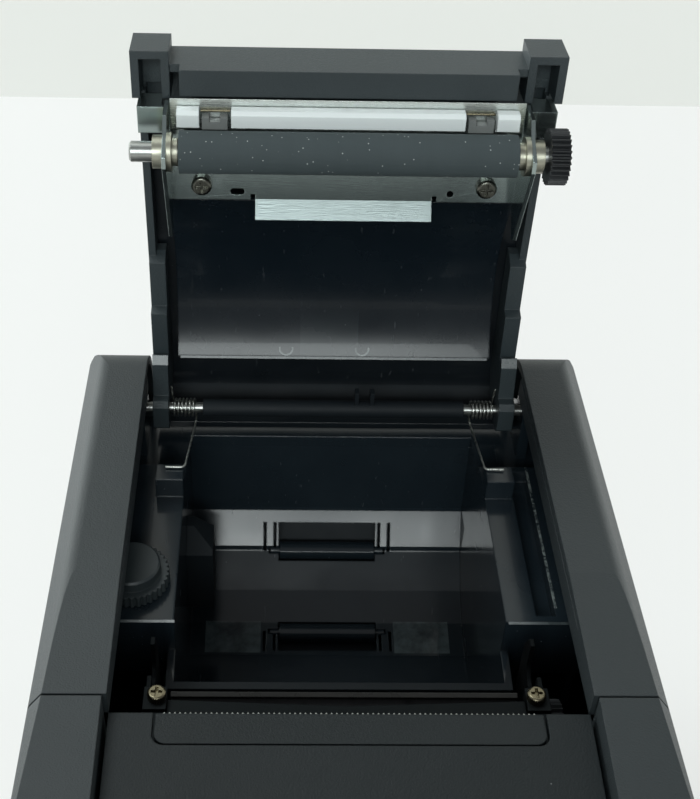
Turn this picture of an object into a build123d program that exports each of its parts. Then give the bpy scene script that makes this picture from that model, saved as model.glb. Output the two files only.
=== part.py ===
from build123d import *
from math import cos, pi, radians, sin, sqrt, tan
import os

# Thermal receipt printer with its paper lid standing open.
# X runs to the right, Y to the back, Z up, all in millimetres. Lengths along Y are counted from the
# middle of the body while modelling; the finished pieces are moved so that the origin lies on the
# floor under the middle of the opened printer. Lid pieces are drawn with the lid closed, by their
# reach in front of the hinge and their rise above it, and then swung open.

# Body
BODY_WIDTH = 145.0
BODY_DEPTH = 195.0
SHOULDER_HEIGHT = 142.0
WALL = 2.2
FOOT_HEIGHT = 3.0
FLOOR_THICKNESS = 2.5
SPLIT_HEIGHT = 34.0
OPENING_BESIDE_PAPER = 13.0
BEVEL_WIDTH = 7.0
BEVEL_DROP = 7.0
SHOULDER_SOFT_WIDTH = 2.0
SHOULDER_SOFT_DROP = 17.0
REAR_ROUND = 14.0
FRONT_ROUND = 26.0
SHOULDER_FALL = 2.1
SHOULDER_FALL_LENGTH = 34.0
WING_SLOPE = 6.2
WING_GAP = 1.0
SEAM_GAP = 0.5
SKIRT_DEPTH = 9.0
SKIRT_THICKNESS = 2.0
CORNER_ROUND = 11.0
SHOULDER_EDGE_ROUND = 4.0
RUN_GAP = 0.3
REAR_WALL_DROP = 24.5
FOOT_SEAT = 1.0
POST_DIAMETER = 8.0
POST_X = 38.0
VENT_COUNT = 7
VENT_START = 24.0
VENT_PITCH = 6.0
VENT_LENGTH = 40.0
VENT_WIDTH = 2.4
CASE_BOSS_DIAMETER = 7.0
CASE_SCREW_DEPTH = 3.2
CASE_SCREW_FROM_END = 34.0
RAIL_WIDTH = 3.2
RAIL_HEIGHT = 2.0
RAIL_DROP = 18.3
RAIL_FROM_FRONT = 17.5

# Hinge
HINGE_FROM_REAR = 14.5
HINGE_FROM_TOP = 14.7
LID_OPEN_ANGLE = 92.0
HINGE_SHAFT_DIAMETER = 3.0
HINGE_FIT = 0.05
HUB_SIZE = 10.0
ARM_WIDTH = 4.4
HINGE_EAR_THICKNESS = 3.0
HINGE_EAR_GAP = 2.4
SLEEVE_DIAMETER = 5.0
SLEEVE_GAP = 2.1
SPRING_WIRE = 0.62
SPRING_PITCH = 1.06
SPRING_TURNS = 6.25
SPRING_RADIUS = 2.45
SPRING_LENGTH = 7.5
SPRING_LEG = 20.5
SPRING_LEG_BEND = 4.0
SPRING_LEG_LEAN = 2.0
SPRING_LEG_TILT = -1.6
SPRING_HOOK = 6.2
SPRING_TAIL = 6.0
HINGE_EAR_RADIUS = 5.0
FORK_X = 6.0
FORK_PITCH = 4.4
FORK_THICKNESS = 1.2
FORK_HEIGHT = 6.7

# Lid
LID_SIDE_GAP = 1.3
LIP_BEYOND_ROLL = 26.2
LID_SKIN = 2.0
LID_CROWN_RISE = 18.5
LID_TIP_RISE = 13.6
LID_REAR_RISE = 16.6
LID_TAIL = 11.0
LID_SIDE_WALL = 2.0
LID_EDGE_RISE = 12.2
LID_EDGE_SLOPE = 2.0
LIP_THICKNESS = 6.6
LIP_DROP = 0.6
LIP_NOTCH_WIDTH = 5.6
LIP_NOTCH_RISE = 3.4
EAR_WIDTH = 9.3
EAR_OVERHANG = 0.7
EAR_LENGTH = 3.3
EAR_RISE = 2.4
EAR_WALL = 2.0
GUIDE_THICKNESS = 1.2
GUIDE_CLEARANCE = 3.0
GUIDE_FRONT_GAP = 1.7
GUIDE_REAR_REACH = 13.0
ARM_OUT_GAP = 0.2
ARM_NECK_REACH = 14.7
ARM_NECK_RISE = 4.6
ARM_ROOT_REACH = 29.0
ARM_STEP_REACH = 43.5
ARM_STEP_RISE = 8.0
TAIL_RISE = 4.5
BOSS_DIAMETER = 6.4

# Paper
PAPER_WIDTH = 80.0
ROLL_DIAMETER = 80.0
ROLL_REACH = 37.0
ROLL_ABOVE_HINGE = 11.7
EXIT_GAP = 5.9

# Platen and its bracket
PLATEN_FROM_LIP = 16.7
PLATEN_DROP = 9.5
PLATEN_DIAMETER = 10.2
PLATEN_OVERHANG = 0.5
PLATEN_SHAFT_DIAMETER = 5.0
SHAFT_END_GAP = 0.6
BUSHING_DIAMETER = 8.0
BUSHING_FLANGE = 9.4
BUSHING_RIM = 1.2
BUSHING_SPACER = 6.6
BUSHING_LENGTH = 3.4
SHEET = 1.0
FLANGE_BESIDE_RUBBER = 2.9
FLANGE_FRONT_DROP = 15.5
FLANGE_LENGTH = 34.3
PLATE_DEPTH = 26.6
PLATE_FROM_LIP = 8.4
PLATE_RISE = 0.2
TAB_WIDTH = 45.0
TAB_LENGTH = 9.6
TAB_NOTCH = 1.2
OUTER_TAB_FROM_LIP = 9.8
OUTER_TAB_HEIGHT = 6.9
OUTER_TAB_DEPTH = 7.6
OUTER_TAB_GAP = 1.8
OUTER_TAB_INSET = 0.5
HOLE_X = 27.0
PLATE_HOLE_FROM_EDGE = 2.3
PLATE_SCREW_INSET = 4.0
PLATE_SCREW_FROM_EDGE = 4.4
PLATE_SCREW_HEAD = 5.2
SCREW_SHANK = 2.5
SCREW_LENGTH = 9.0

# Cutter
FIXED_BLADE_FROM_LIP = 6.9
FIXED_BLADE_DEPTH = 8.0
BLADE_THICKNESS = 1.1
FIXED_BLADE_RISE = -1.2
BLADE_BESIDE_PAPER = 3.0
GUIDE_BAR_INSET = 11.8
GUIDE_BAR_FROM_LIP = 8.6
GUIDE_BAR_HEIGHT = 4.0
GUIDE_BAR_THICKNESS = 3.5
GUIDE_BLOCK_LENGTH = 5.4
GUIDE_BLOCK_INSET = 1.4
CLIP_FROM_BLOCK = 6.4
CLIP_LENGTH = 6.2
BLADE_REST_GAP = 3.7
BLADE_V = 1.5
MOVING_BLADE_DEPTH = 27.0
MOVING_BLADE_BESIDE_PAPER = 1.0
CUTTER_BASE_DEPTH = 40.4
CUTTER_BASE_SHEET = 1.2
CUTTER_BASE_SETBACK = 0.6
CUTTER_LID_DEPTH = 18.6
CUTTER_LID_SETBACK = 1.2
CRANK_RADIUS = 4.5
CRANK_DIAMETER = 18.0
CRANK_PIN_DIAMETER = 2.4
CRANK_THICKNESS = 3.0
CRANK_FROM_EDGE = 21.0
CRANK_FREE = 0.7
GEARBOX_HEIGHT = 11.3
GEARBOX_MARGIN = 3.0
CUTTER_MOTOR_DIAMETER = 16.0
CUTTER_MOTOR_LENGTH = 28.0
CUTTER_SCREW_BESIDE_PAPER = 3.4
CUTTER_SCREW_FROM_LIP = 3.2
CUTTER_EAR_LENGTH = 6.2
STUD_DIAMETER = 4.0
SCREW_HEAD_DIAMETER = 4.4

# Tear bar and front cover
TEAR_DROP = 8.5
TEAR_TOOTH_PITCH = 1.15
TEAR_BAR_BESIDE_PAPER = 1.4
TEAR_TOOTH_DEPTH = 0.8
TEAR_BAR_THICKNESS = 0.6
TEAR_BAR_DEPTH = 6.0
HOLDER_BESIDE_PAPER = 2.7
HOLDER_DEPTH = 7.6
HOLDER_ROUND = 2.6
COVER_GAP = 0.5
COVER_THICKNESS = 2.2
COVER_SIDE_GAP = 1.1
COVER_TRAVEL = 18.0
COVER_BOTTOM = 72.0
PANEL_DROP = 5.4

# Gears
GEAR_MODULE = 0.45
PLATEN_TEETH = 28
IDLER_TEETH = 28
REDUCER_TEETH = 40
PINION_TEETH = 12
GEAR_WIDTH = 4.6
GEAR_BACKLASH = 0.06
IDLER_DIRECTION = 225.0
REDUCER_DIRECTION = 240.0
PINION_DIRECTION = 235.0
MOTOR_DIAMETER = 24.0
MOTOR_LENGTH = 21.5
MOTOR_SHAFT_DIAMETER = 2.0

# Mechanism frame and print head
MECHANISM_BEFORE_PLATEN = 58.5
MECHANISM_DEPTH = 55.8
MECHANISM_BEHIND_SLOT = 5.5
HEAD_TILT = 25.0
HEAD_GAP = 0.3
CERAMIC_THICKNESS = 1.2
CERAMIC_HEIGHT = 12.0
CERAMIC_ABOVE_LINE = 5.0
HEATSINK_THICKNESS = 6.0
HEATSINK_HEIGHT = 22.0
FIN_COUNT = 9
HEAD_SPRING_WIRE = 0.7
HEAD_SPRING_RADIUS = 2.6
HEAD_SPRING_TURNS = 5
HEAD_SPRING_PITCH = 1.6
HEAD_SPRING_X = 26.0
HEAD_SPRING_BELOW_LINE = 5.0
HEAD_BAR_DEPTH = 17.1
HEAD_BAR_HEIGHT = 10.0
HEAD_PIVOT_DIAMETER = 3.0
FIN_DEPTH = 3.0

# Paper bucket
BUCKET_SIDE_GAP = 2.0
BUCKET_WALL = 2.0
BLOCK_DROP = 25.0
BLOCK_FRONT_FROM_ROLL = 32.6
BLOCK_REAR_FROM_ROLL = 24.0
BLOCK_WALL_HEIGHT = 21.0
DECK_DROP = 29.0
TROUGH_FRONT_RISE = 5.0
TROUGH_ANGLES = (-88.0, -68.0, -45.0, -20.0, 4.0, 19.0, 33.0, 50.0, 68.0)
TROUGH_REAR_STEP = 1.6
LEG_FROM_SIDE = 11.7
POST_HEIGHT = 6.6
POST_OVERHANG = 0.4
POST_WIDTH = 8.0
POST_FROM_ROLL = 17.0
POST_DEPTH = 6.0
CHANNEL_FROM_ROLL = 8.0
CHANNEL_WIDTH = 5.0
CHANNEL_DEPTH = 4.0
ROLLER_DIAMETER = 5.6
ROLLER_LENGTH = 29.6
ROLLER_PIN_DIAMETER = 2.4
REAR_ROLLER_ANGLE = 50.0
FRONT_ROLLER_ANGLE = 15.0
CUP_WALL = 1.2
CLIP_WEB = 0.8
FRONT_POCKET_LENGTH = 6.5
ROLLER_SINK = 2.8
ROLLER_PIN_END = 18.2
ROLLER_CLIP_X = 18.6
POCKET_LENGTH = 9.0
SLOT_WIDTH = 0.8
DIAL_BESIDE_ROLL = 11.4
DIAL_FROM_ROLL = 19.4
DIAL_RADIUS = 9.6
DIAL_TOP_RADIUS = 7.4
DIAL_SKIRT_HEIGHT = 3.2
DIAL_TOP_HEIGHT = 3.2
DIAL_TEETH = 36
DIAL_TOOTH_DEPTH = 0.6
DIAL_STEM_DIAMETER = 6.0
SENSOR_WIDTH = 7.6
SENSOR_HEIGHT = 28.0
SENSOR_DEPTH = 11.0
SENSOR_BELOW_ROLL = 27.0
SENSOR_FROM_ROLL = 20.0
SENSOR_ROOF_WIDTH = 2.0
SENSOR_ROOF_FALL = 4.0

# Electronics and rear
BOARD_THICKNESS = 1.6
BOARD_HEIGHT = 12.0
BOARD_BESIDE_LEG = 0.8
BOARD_SINK = 0.5
BOARD_CHIPS = ((-3, 41, 18, 18, 1.6), (26, 54, 12, 16, 4.0))
BOARD_CANS = ((-44, 34), (-30, 34), (40, 30))
BOARD_CAN_RADIUS = 5.0
BOARD_CAN_HEIGHT = 11.0
BOARD_DEPTH = 87.8
BOARD_SETBACK = 3.0
WINDOW_WIDTH = 104.0
WINDOW_BOTTOM = 11.0
WINDOW_TOP = 30.0
PLATE_SHEET = 0.8
USB_WIDTH = 12.0
USB_HEIGHT = 10.8
USB_X = -4.0
JACK_WIDTH = 13.2
JACK_HEIGHT = 12.4
JACK_X = -28.0
POWER_SIZE = 14.0
POWER_X = 20.0
SWITCH_WIDTH = 19.0
SWITCH_HEIGHT = 13.0
SWITCH_X = 42.0
SWITCH_TILT = 16.0
SOCKET_SETBACK = 1.0
MOUTH_DEPTH = 4.5
SOCKET_DEPTH = 16.0
FOOT_DIAMETER = 12.0
FOOT_INSET = 16.0
BUTTON_WIDTH = 14.0
BUTTON_HEIGHT = 7.0
BUTTON_X = 34.0
BUTTON_Z = 52.0
BUTTON_STROKE = 1.0
PANEL_BOARD_DEPTH = 8.0
PUSH_SWITCH_HEIGHT = 3.0
LENS_DIAMETER = 3.0
LENS_PITCH = 11.0
CASE_SCREW_DIAMETER = 5.6

HALF = BODY_WIDTH / 2
FRONT = -BODY_DEPTH / 2
REAR = BODY_DEPTH / 2
OPENING_HALF = PAPER_WIDTH / 2 + OPENING_BESIDE_PAPER
HINGE_Y = REAR - HINGE_FROM_REAR
HINGE_Z = SHOULDER_HEIGHT - HINGE_FROM_TOP
LID_HALF = OPENING_HALF - LID_SIDE_GAP
LID_LENGTH = ROLL_REACH + ROLL_DIAMETER / 2 + LIP_BEYOND_ROLL
PLATEN_REACH = LID_LENGTH - PLATEN_FROM_LIP
PLATE_UPPER_REACH = LID_LENGTH - PLATE_FROM_LIP
PLATE_LOWER_REACH = PLATE_UPPER_REACH - PLATE_DEPTH
FLANGE_TIP_REACH = PLATE_UPPER_REACH - FLANGE_LENGTH
OUTER_TAB_REACH = LID_LENGTH - OUTER_TAB_FROM_LIP
PLATE_HOLE_REACH = PLATE_LOWER_REACH + PLATE_HOLE_FROM_EDGE
PLATE_SCREW_REACH = PLATE_LOWER_REACH + PLATE_SCREW_FROM_EDGE
FIXED_BLADE_REACH = LID_LENGTH - FIXED_BLADE_FROM_LIP
GUIDE_BAR_REACH = LID_LENGTH - GUIDE_BAR_FROM_LIP
GUIDE_FRONT_REACH = PLATE_LOWER_REACH - GUIDE_FRONT_GAP
TEAR_Y = HINGE_Y - LID_LENGTH - EXIT_GAP
SEAM_Y = TEAR_Y
ROLL_Y = HINGE_Y - ROLL_REACH
ROLL_Z = HINGE_Z + ROLL_ABOVE_HINGE - ROLL_DIAMETER / 2
REAR_WALL_TOP = SHOULDER_HEIGHT - REAR_WALL_DROP
RAIL_TOP = SHOULDER_HEIGHT - RAIL_DROP
TEAR_HEIGHT = SHOULDER_HEIGHT - TEAR_DROP
BLOCK_TOP = SHOULDER_HEIGHT - BLOCK_DROP
BLOCK_WALL_BOTTOM = BLOCK_TOP - BLOCK_WALL_HEIGHT
DECK_HEIGHT = SHOULDER_HEIGHT - DECK_DROP
TROUGH_FRONT_TOP = ROLL_Z + TROUGH_FRONT_RISE
POST_TOP = BLOCK_TOP + POST_HEIGHT
SENSOR_BOTTOM = ROLL_Z - SENSOR_BELOW_ROLL
LEG_X = HALF - LEG_FROM_SIDE
BOARD_WIDTH = 2 * (LEG_X - BOARD_BESIDE_LEG)
TROUGH_RADIUS = ROLL_DIAMETER / 2 + BUCKET_SIDE_GAP
BUCKET_HALF = PAPER_WIDTH / 2 + BUCKET_SIDE_GAP
PLATEN_Y = HINGE_Y - PLATEN_REACH
PLATEN_Z = HINGE_Z - PLATEN_DROP
MECHANISM_FRONT = PLATEN_Y - MECHANISM_BEFORE_PLATEN
MECHANISM_BOTTOM = PLATEN_Z - MECHANISM_DEPTH
BLADE_TOP = HINGE_Z + FIXED_BLADE_RISE - RUN_GAP
BLADE_BOTTOM = BLADE_TOP - SHEET
BLADE_EDGE_Y = HINGE_Y - FIXED_BLADE_REACH - BLADE_REST_GAP
FLOOR_TOP = FOOT_HEIGHT + FLOOR_THICKNESS
PLATEN_HALF = PAPER_WIDTH / 2 + PLATEN_OVERHANG
FLANGE_INSIDE = PLATEN_HALF + FLANGE_BESIDE_RUBBER
FRAME_INSIDE = FLANGE_INSIDE + SHEET + 1.1
GEAR_INSIDE = OPENING_HALF - SHAFT_END_GAP - GEAR_WIDTH
BLADE_LENGTH = PAPER_WIDTH + 2 * BLADE_BESIDE_PAPER
MOVING_BLADE_WIDTH = PAPER_WIDTH + 2 * MOVING_BLADE_BESIDE_PAPER
GUIDE_BAR_LENGTH = PAPER_WIDTH - 2 * GUIDE_BAR_INSET
GUIDE_BLOCK_CENTRE = PAPER_WIDTH / 2 - GUIDE_BLOCK_INSET
CLIP_CENTRE = GUIDE_BLOCK_CENTRE - CLIP_FROM_BLOCK
CUTTER_SCREW_X = PAPER_WIDTH / 2 + CUTTER_SCREW_BESIDE_PAPER
PLATE_SCREW_X = PAPER_WIDTH / 2 - PLATE_SCREW_INSET
HOLDER_WIDTH = PAPER_WIDTH + 2 * HOLDER_BESIDE_PAPER
TEAR_TOOTH_COUNT = round((PAPER_WIDTH + 2 * TEAR_BAR_BESIDE_PAPER) / TEAR_TOOTH_PITCH)
ARM_IN = LID_HALF - ARM_OUT_GAP - ARM_WIDTH
SPRING_INSIDE = ARM_IN - SPRING_LENGTH
SLEEVE_LENGTH = 2 * (SPRING_INSIDE - SLEEVE_GAP)
POST_INNER_X = BUCKET_HALF - POST_OVERHANG
CHANNEL_X = BUCKET_HALF + CHANNEL_FROM_ROLL
DIAL_X = -BUCKET_HALF - DIAL_BESIDE_ROLL
CUTTER_LID_TOP = BLADE_TOP + RUN_GAP + SHEET
BED_TOP = BLADE_BOTTOM - RUN_GAP
BED_BOTTOM = BED_TOP - CUTTER_BASE_SHEET
CRANK_Y = BLADE_EDGE_Y - CRANK_FROM_EDGE
CRANK_TOP = BED_BOTTOM - CRANK_FREE
LIP_FACE_Y = HINGE_Y - LID_LENGTH
CUTTER_SCREW_Y = LIP_FACE_Y + CUTTER_SCREW_FROM_LIP
WING_INSIDE = OPENING_HALF + WING_GAP
BLOCK_FRONT = ROLL_Y - BLOCK_FRONT_FROM_ROLL
BLOCK_REAR = ROLL_Y + BLOCK_REAR_FROM_ROLL
POST_REAR = ROLL_Y + POST_FROM_ROLL
DIAL_Y = ROLL_Y - DIAL_FROM_ROLL
SENSOR_Y = ROLL_Y + SENSOR_FROM_ROLL
ROLLER_AXIS = ROLL_DIAMETER / 2 + ROLLER_SINK
ROLLER_CLIP_RADIUS = ROLLER_PIN_DIAMETER + 0.8
PANEL_BOARD_Y = FRONT + PANEL_BOARD_DEPTH
SWITCH_FRONT = PANEL_BOARD_Y - PUSH_SWITCH_HEIGHT
BOARD_REAR = REAR - WALL - BOARD_SETBACK
BOARD_TOP = BOARD_HEIGHT + BOARD_THICKNESS
SOCKET_FACE = REAR - SOCKET_SETBACK
SWITCH_Z = BOARD_TOP + SWITCH_HEIGHT / 2


def block(x0, x1, y0, y1, z0, z1):
    """A straight-sided block between two opposite corners."""
    centre = ((x0 + x1) / 2, (y0 + y1) / 2, (z0 + z1) / 2)
    return Pos(*centre) * Box(abs(x1 - x0), abs(y1 - y0), abs(z1 - z0))


def side_face(points):
    """A face in the YZ plane through the given (y, z) corners."""
    return Plane.YZ * make_face(Polyline(*points, close=True))


def side_solid(points, x0, x1):
    """A prism along X over a (y, z) outline."""
    return Pos(x0, 0, 0) * extrude(side_face(points), x1 - x0)


def closed_points(points):
    """Turns (reach, rise) pairs of the closed lid into (y, z) pairs."""
    return [(HINGE_Y - reach, HINGE_Z + rise) for reach, rise in points]


def lid_solid(points, x0, x1):
    """A prism along X over a (reach, rise) outline of the closed lid."""
    return side_solid(closed_points(points), x0, x1)


def lid_block(x0, x1, reach0, reach1, rise0, rise1):
    """A block of the closed lid."""
    return block(x0, x1, HINGE_Y - reach1, HINGE_Y - reach0, HINGE_Z + rise0, HINGE_Z + rise1)


def rod_x(radius, x0, x1, y, z):
    """A round bar along X."""
    return Pos((x0 + x1) / 2, y, z) * Rot(0, 90, 0) * Cylinder(radius, x1 - x0)


def rod_y(radius, y0, y1, x, z):
    """A round bar along Y."""
    return Pos(x, (y0 + y1) / 2, z) * Rot(90, 0, 0) * Cylinder(radius, y1 - y0)


def rod_z(radius, z0, z1, x, y):
    """A round bar along Z."""
    return Pos(x, y, (z0 + z1) / 2) * Cylinder(radius, z1 - z0)


def both_sides(shape):
    """The shape and its mirror image on the other side of the middle plane."""
    return shape + mirror(shape, about=Plane.YZ)


def swung_open(shape):
    """Swings a piece of the closed lid up to its open stop."""
    axis = Axis((0, HINGE_Y, HINGE_Z), (1, 0, 0))
    return shape.rotate(axis, -LID_OPEN_ANGLE)


def gear(teeth, width, x0, y, z, bore, turn):
    """A spur gear on an axis along X, with straight-flanked teeth."""
    pitch_radius = GEAR_MODULE * teeth / 2
    tip = pitch_radius + GEAR_MODULE
    root = pitch_radius - 1.2 * GEAR_MODULE
    step = 2 * pi / teeth
    tip_half = (0.2 * pi * GEAR_MODULE - GEAR_BACKLASH) / tip / 2
    root_half = (0.72 * pi * GEAR_MODULE - GEAR_BACKLASH) / root / 2
    corners = []
    for number in range(teeth):
        middle = radians(turn) + number * step
        for radius, offset in ((root, -root_half), (tip, -tip_half), (tip, tip_half), (root, root_half)):
            angle = middle + offset
            corners.append((y + radius * cos(angle), z + radius * sin(angle)))
    body = side_solid(corners, x0, x0 + width)
    if bore:
        body -= rod_x(bore / 2, x0 - 1, x0 + width + 1, y, z)
    return body


def biarc(start, start_tangent, end, end_tangent):
    """Two arcs that leave and arrive along the given tangents."""
    span = end - start
    total = start_tangent + end_tangent
    spread = 2 * (1 - start_tangent.dot(end_tangent))
    along = span.dot(total)
    reach = (sqrt(along ** 2 + spread * span.dot(span)) - along) / spread
    first = start + start_tangent * reach
    second = end - end_tangent * reach
    joint = (first + second) * 0.5
    tangent = (second - first).normalized()
    return [TangentArc(start, joint, tangent=start_tangent), TangentArc(joint, end, tangent=tangent)]


def coil_path(radius, pitch, turns):
    """Quarter-turn biarcs along a helix about Z, with its end points and tangents."""
    rise = pitch / (2 * pi)
    quarters = round(turns * 4)
    knots = []
    for number in range(quarters + 1):
        angle = number * pi / 2
        point = Vector(radius * cos(angle), radius * sin(angle), rise * angle)
        tangent = Vector(-radius * sin(angle), radius * cos(angle), rise).normalized()
        knots.append((point, tangent))
    edges = []
    for (start, start_tangent), (end, end_tangent) in zip(knots, knots[1:]):
        edges += biarc(start, start_tangent, end, end_tangent)
    return edges, knots


def wire_tube(edges, start, tangent, diameter):
    """One unbroken round wire along a chain of lines and arcs."""
    section = Plane(origin=start, z_dir=tangent) * Circle(diameter / 2)
    return sweep(section, path=Wire(edges))


def report_coil_gap(name, edges, turns, diameter):
    """Prints the least gap between turns, measured on points of the wire's middle line."""
    per_edge = 6
    points = [edge @ (step / per_edge) for edge in edges for step in range(per_edge)]
    half_turn = len(points) // max(1, round(2 * turns))
    gaps = [
        (points[low] - points[high]).length
        for low in range(len(points))
        for high in range(low + half_turn, len(points))
    ]
    print(name, "least gap between turns", round(min(gaps) - diameter, 2), "mm")


def plan_prism(inset, z0, z1):
    """The body's plan with its rounded upright corners, pulled up between two heights."""
    plan = RectangleRounded(BODY_WIDTH - 2 * inset, BODY_DEPTH - 2 * inset, CORNER_ROUND - inset)
    return Pos(0, 0, z0) * extrude(plan, z1 - z0)


def section_prism(inset, y0, y1):
    """The body's cross-section with its bevelled shoulders, pulled along Y and open below."""
    foot = SPLIT_HEIGHT - 2 * inset
    outline = [
        (-HALF, foot),
        (HALF, foot),
        (HALF, SHOULDER_HEIGHT - SHOULDER_SOFT_DROP),
        (HALF - SHOULDER_SOFT_WIDTH, SHOULDER_HEIGHT - BEVEL_DROP),
        (HALF - BEVEL_WIDTH, SHOULDER_HEIGHT),
        (BEVEL_WIDTH - HALF, SHOULDER_HEIGHT),
        (SHOULDER_SOFT_WIDTH - HALF, SHOULDER_HEIGHT - BEVEL_DROP),
        (-HALF, SHOULDER_HEIGHT - SHOULDER_SOFT_DROP),
    ]
    face = make_face(Polyline(*outline, close=True))
    face = fillet(face.vertices().filter_by(lambda corner: corner.Y > foot + WALL), SHOULDER_EDGE_ROUND)
    if inset:
        face = offset(face, amount=-inset, kind=Kind.INTERSECTION)
    return Pos(0, y1, 0) * extrude(Plane.XZ * face, y1 - y0)


def side_prism(outline, corner_round, end, inset):
    """A side view with the upper corner of one end rounded, inset by a wall and pulled out sideways."""
    face = make_face(Polyline(*outline, close=True))
    corner = face.vertices().group_by(Axis.X)[end].sort_by(Axis.Y)[-1]
    face = fillet(corner, corner_round)
    if inset:
        face = offset(face, amount=-inset, kind=Kind.INTERSECTION)
    return Pos(-HALF, 0, 0) * extrude(Plane.YZ * face, BODY_WIDTH)


def rear_side_prism(inset):
    """Side view of the shoulders, falling gently to the seam and rounded at the rear."""
    start = SEAM_Y + SEAM_GAP - 2 * inset
    fall_end = SEAM_Y + SHOULDER_FALL_LENGTH
    fall = SHOULDER_FALL * (fall_end - start) / SHOULDER_FALL_LENGTH
    outline = [
        (start, SPLIT_HEIGHT - 2 * inset),
        (REAR, SPLIT_HEIGHT - 2 * inset),
        (REAR, SHOULDER_HEIGHT),
        (fall_end, SHOULDER_HEIGHT),
        (start, SHOULDER_HEIGHT - fall),
    ]
    return side_prism(outline, REAR_ROUND, -1, inset)


def front_height(y, drop):
    """Height of the front end's sloping top at a given place."""
    return SHOULDER_HEIGHT - SHOULDER_FALL - drop + (y - SEAM_Y) * tan(radians(WING_SLOPE))


def front_side_prism(drop, inset, rear_y):
    """Side view of the front end, sloping to a large rounded front edge."""
    start = rear_y + 2 * inset
    outline = [
        (start, SPLIT_HEIGHT - 2 * inset),
        (start, front_height(start, drop)),
        (FRONT, front_height(FRONT, drop)),
        (FRONT, SPLIT_HEIGHT - 2 * inset),
    ]
    return side_prism(outline, FRONT_ROUND, 0, inset)


def bottom_case():
    """Tray with the floor, screw bosses, posts for the mechanism and the rear window."""
    tray = plan_prism(0, FOOT_HEIGHT, SPLIT_HEIGHT) - plan_prism(WALL, FLOOR_TOP, SPLIT_HEIGHT + 1)
    for x in (-POST_X, POST_X):
        for y in (MECHANISM_FRONT + POST_DIAMETER / 2, -POST_DIAMETER):
            tray += rod_z(POST_DIAMETER / 2, FLOOR_TOP - 1, MECHANISM_BOTTOM, x, y)
    for x in (-BOARD_WIDTH / 2 + 6, BOARD_WIDTH / 2 - 6):
        for y in (BOARD_REAR - BOARD_DEPTH + 6, BOARD_REAR - 6):
            tray += rod_z(3, FLOOR_TOP - 1, BOARD_HEIGHT, x, y)
    for x in (-HALF + FOOT_INSET, HALF - FOOT_INSET):
        for y in (FRONT + FOOT_INSET, REAR - FOOT_INSET):
            tray -= rod_z(FOOT_DIAMETER / 2, FOOT_HEIGHT - 1, FOOT_HEIGHT + FOOT_SEAT, x, y)
    for number in range(VENT_COUNT):
        y = FRONT + VENT_START + number * VENT_PITCH
        vent = extrude(SlotOverall(VENT_LENGTH, VENT_WIDTH), 2 * FLOOR_THICKNESS, both=True)
        tray -= Pos(0, y, FLOOR_TOP) * vent
    half = WINDOW_WIDTH / 2
    tray -= block(-half, half, REAR - 2 * WALL, REAR + 1, WINDOW_BOTTOM, WINDOW_TOP)
    for x, y in case_screw_places():
        tray += rod_z(CASE_BOSS_DIAMETER / 2, FLOOR_TOP - 1, SPLIT_HEIGHT, x, y)
        tray -= rod_z(
            CASE_SCREW_DIAMETER / 2 + RUN_GAP, FOOT_HEIGHT - 1, FOOT_HEIGHT + CASE_SCREW_DEPTH, x, y
        )
    return tray


def case_screw_places():
    """Where the screws enter from below, next to the feet."""
    x = HALF - WALL / 2 - CASE_BOSS_DIAMETER / 2
    ys = (FRONT + CASE_SCREW_FROM_END, REAR - CASE_SCREW_FROM_END)
    return [(side * x, y) for side in (-1, 1) for y in ys]


def case_screws():
    """Countersunk heads in the floor of the bottom case."""
    screws = Part()
    for x, y in case_screw_places():
        head = rod_z(CASE_SCREW_DIAMETER / 2, FOOT_HEIGHT + 0.6, FOOT_HEIGHT + CASE_SCREW_DEPTH, x, y)
        slot = block(x - 0.4, x + 0.4, y - 2, y + 2, FOOT_HEIGHT, FOOT_HEIGHT + 1.2)
        cross = block(x - 2, x + 2, y - 0.4, y + 0.4, FOOT_HEIGHT, FOOT_HEIGHT + 1.2)
        screws += head - slot - cross
    return screws


def rubber_feet():
    """Four round feet, seated in the floor's recesses."""
    feet = Part()
    for x in (-HALF + FOOT_INSET, HALF - FOOT_INSET):
        for y in (FRONT + FOOT_INSET, REAR - FOOT_INSET):
            foot = Pos(x, y, 0) * Cone(
                FOOT_DIAMETER / 2 - 1.6, FOOT_DIAMETER / 2 - RUN_GAP, FOOT_HEIGHT + FOOT_SEAT,
                align=(Align.CENTER, Align.CENTER, Align.MIN),
            )
            feet += foot
    return feet


def main_housing():
    """Sides, shoulders and rear wall in one shell, open between the shoulders for the lid."""
    outer = section_prism(0, SEAM_Y, REAR) & rear_side_prism(0) & plan_prism(0, 0, SHOULDER_HEIGHT + 1)
    inner = section_prism(WALL, SEAM_Y - 3 * WALL, REAR)
    inner = inner & rear_side_prism(WALL) & plan_prism(WALL, 0, SHOULDER_HEIGHT + 1)
    shell = outer - inner
    shell -= block(-OPENING_HALF, OPENING_HALF, SEAM_Y, REAR + 1, REAR_WALL_TOP, SHOULDER_HEIGHT + 1)
    skirt_top = SHOULDER_HEIGHT - SHOULDER_FALL - WALL / 2
    skirt_rear = REAR - REAR_ROUND
    skirt = block(
        OPENING_HALF, OPENING_HALF + SKIRT_THICKNESS, SEAM_Y + SEAM_GAP, skirt_rear,
        SHOULDER_HEIGHT - SKIRT_DEPTH, skirt_top,
    )
    return shell + both_sides(skirt)


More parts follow.
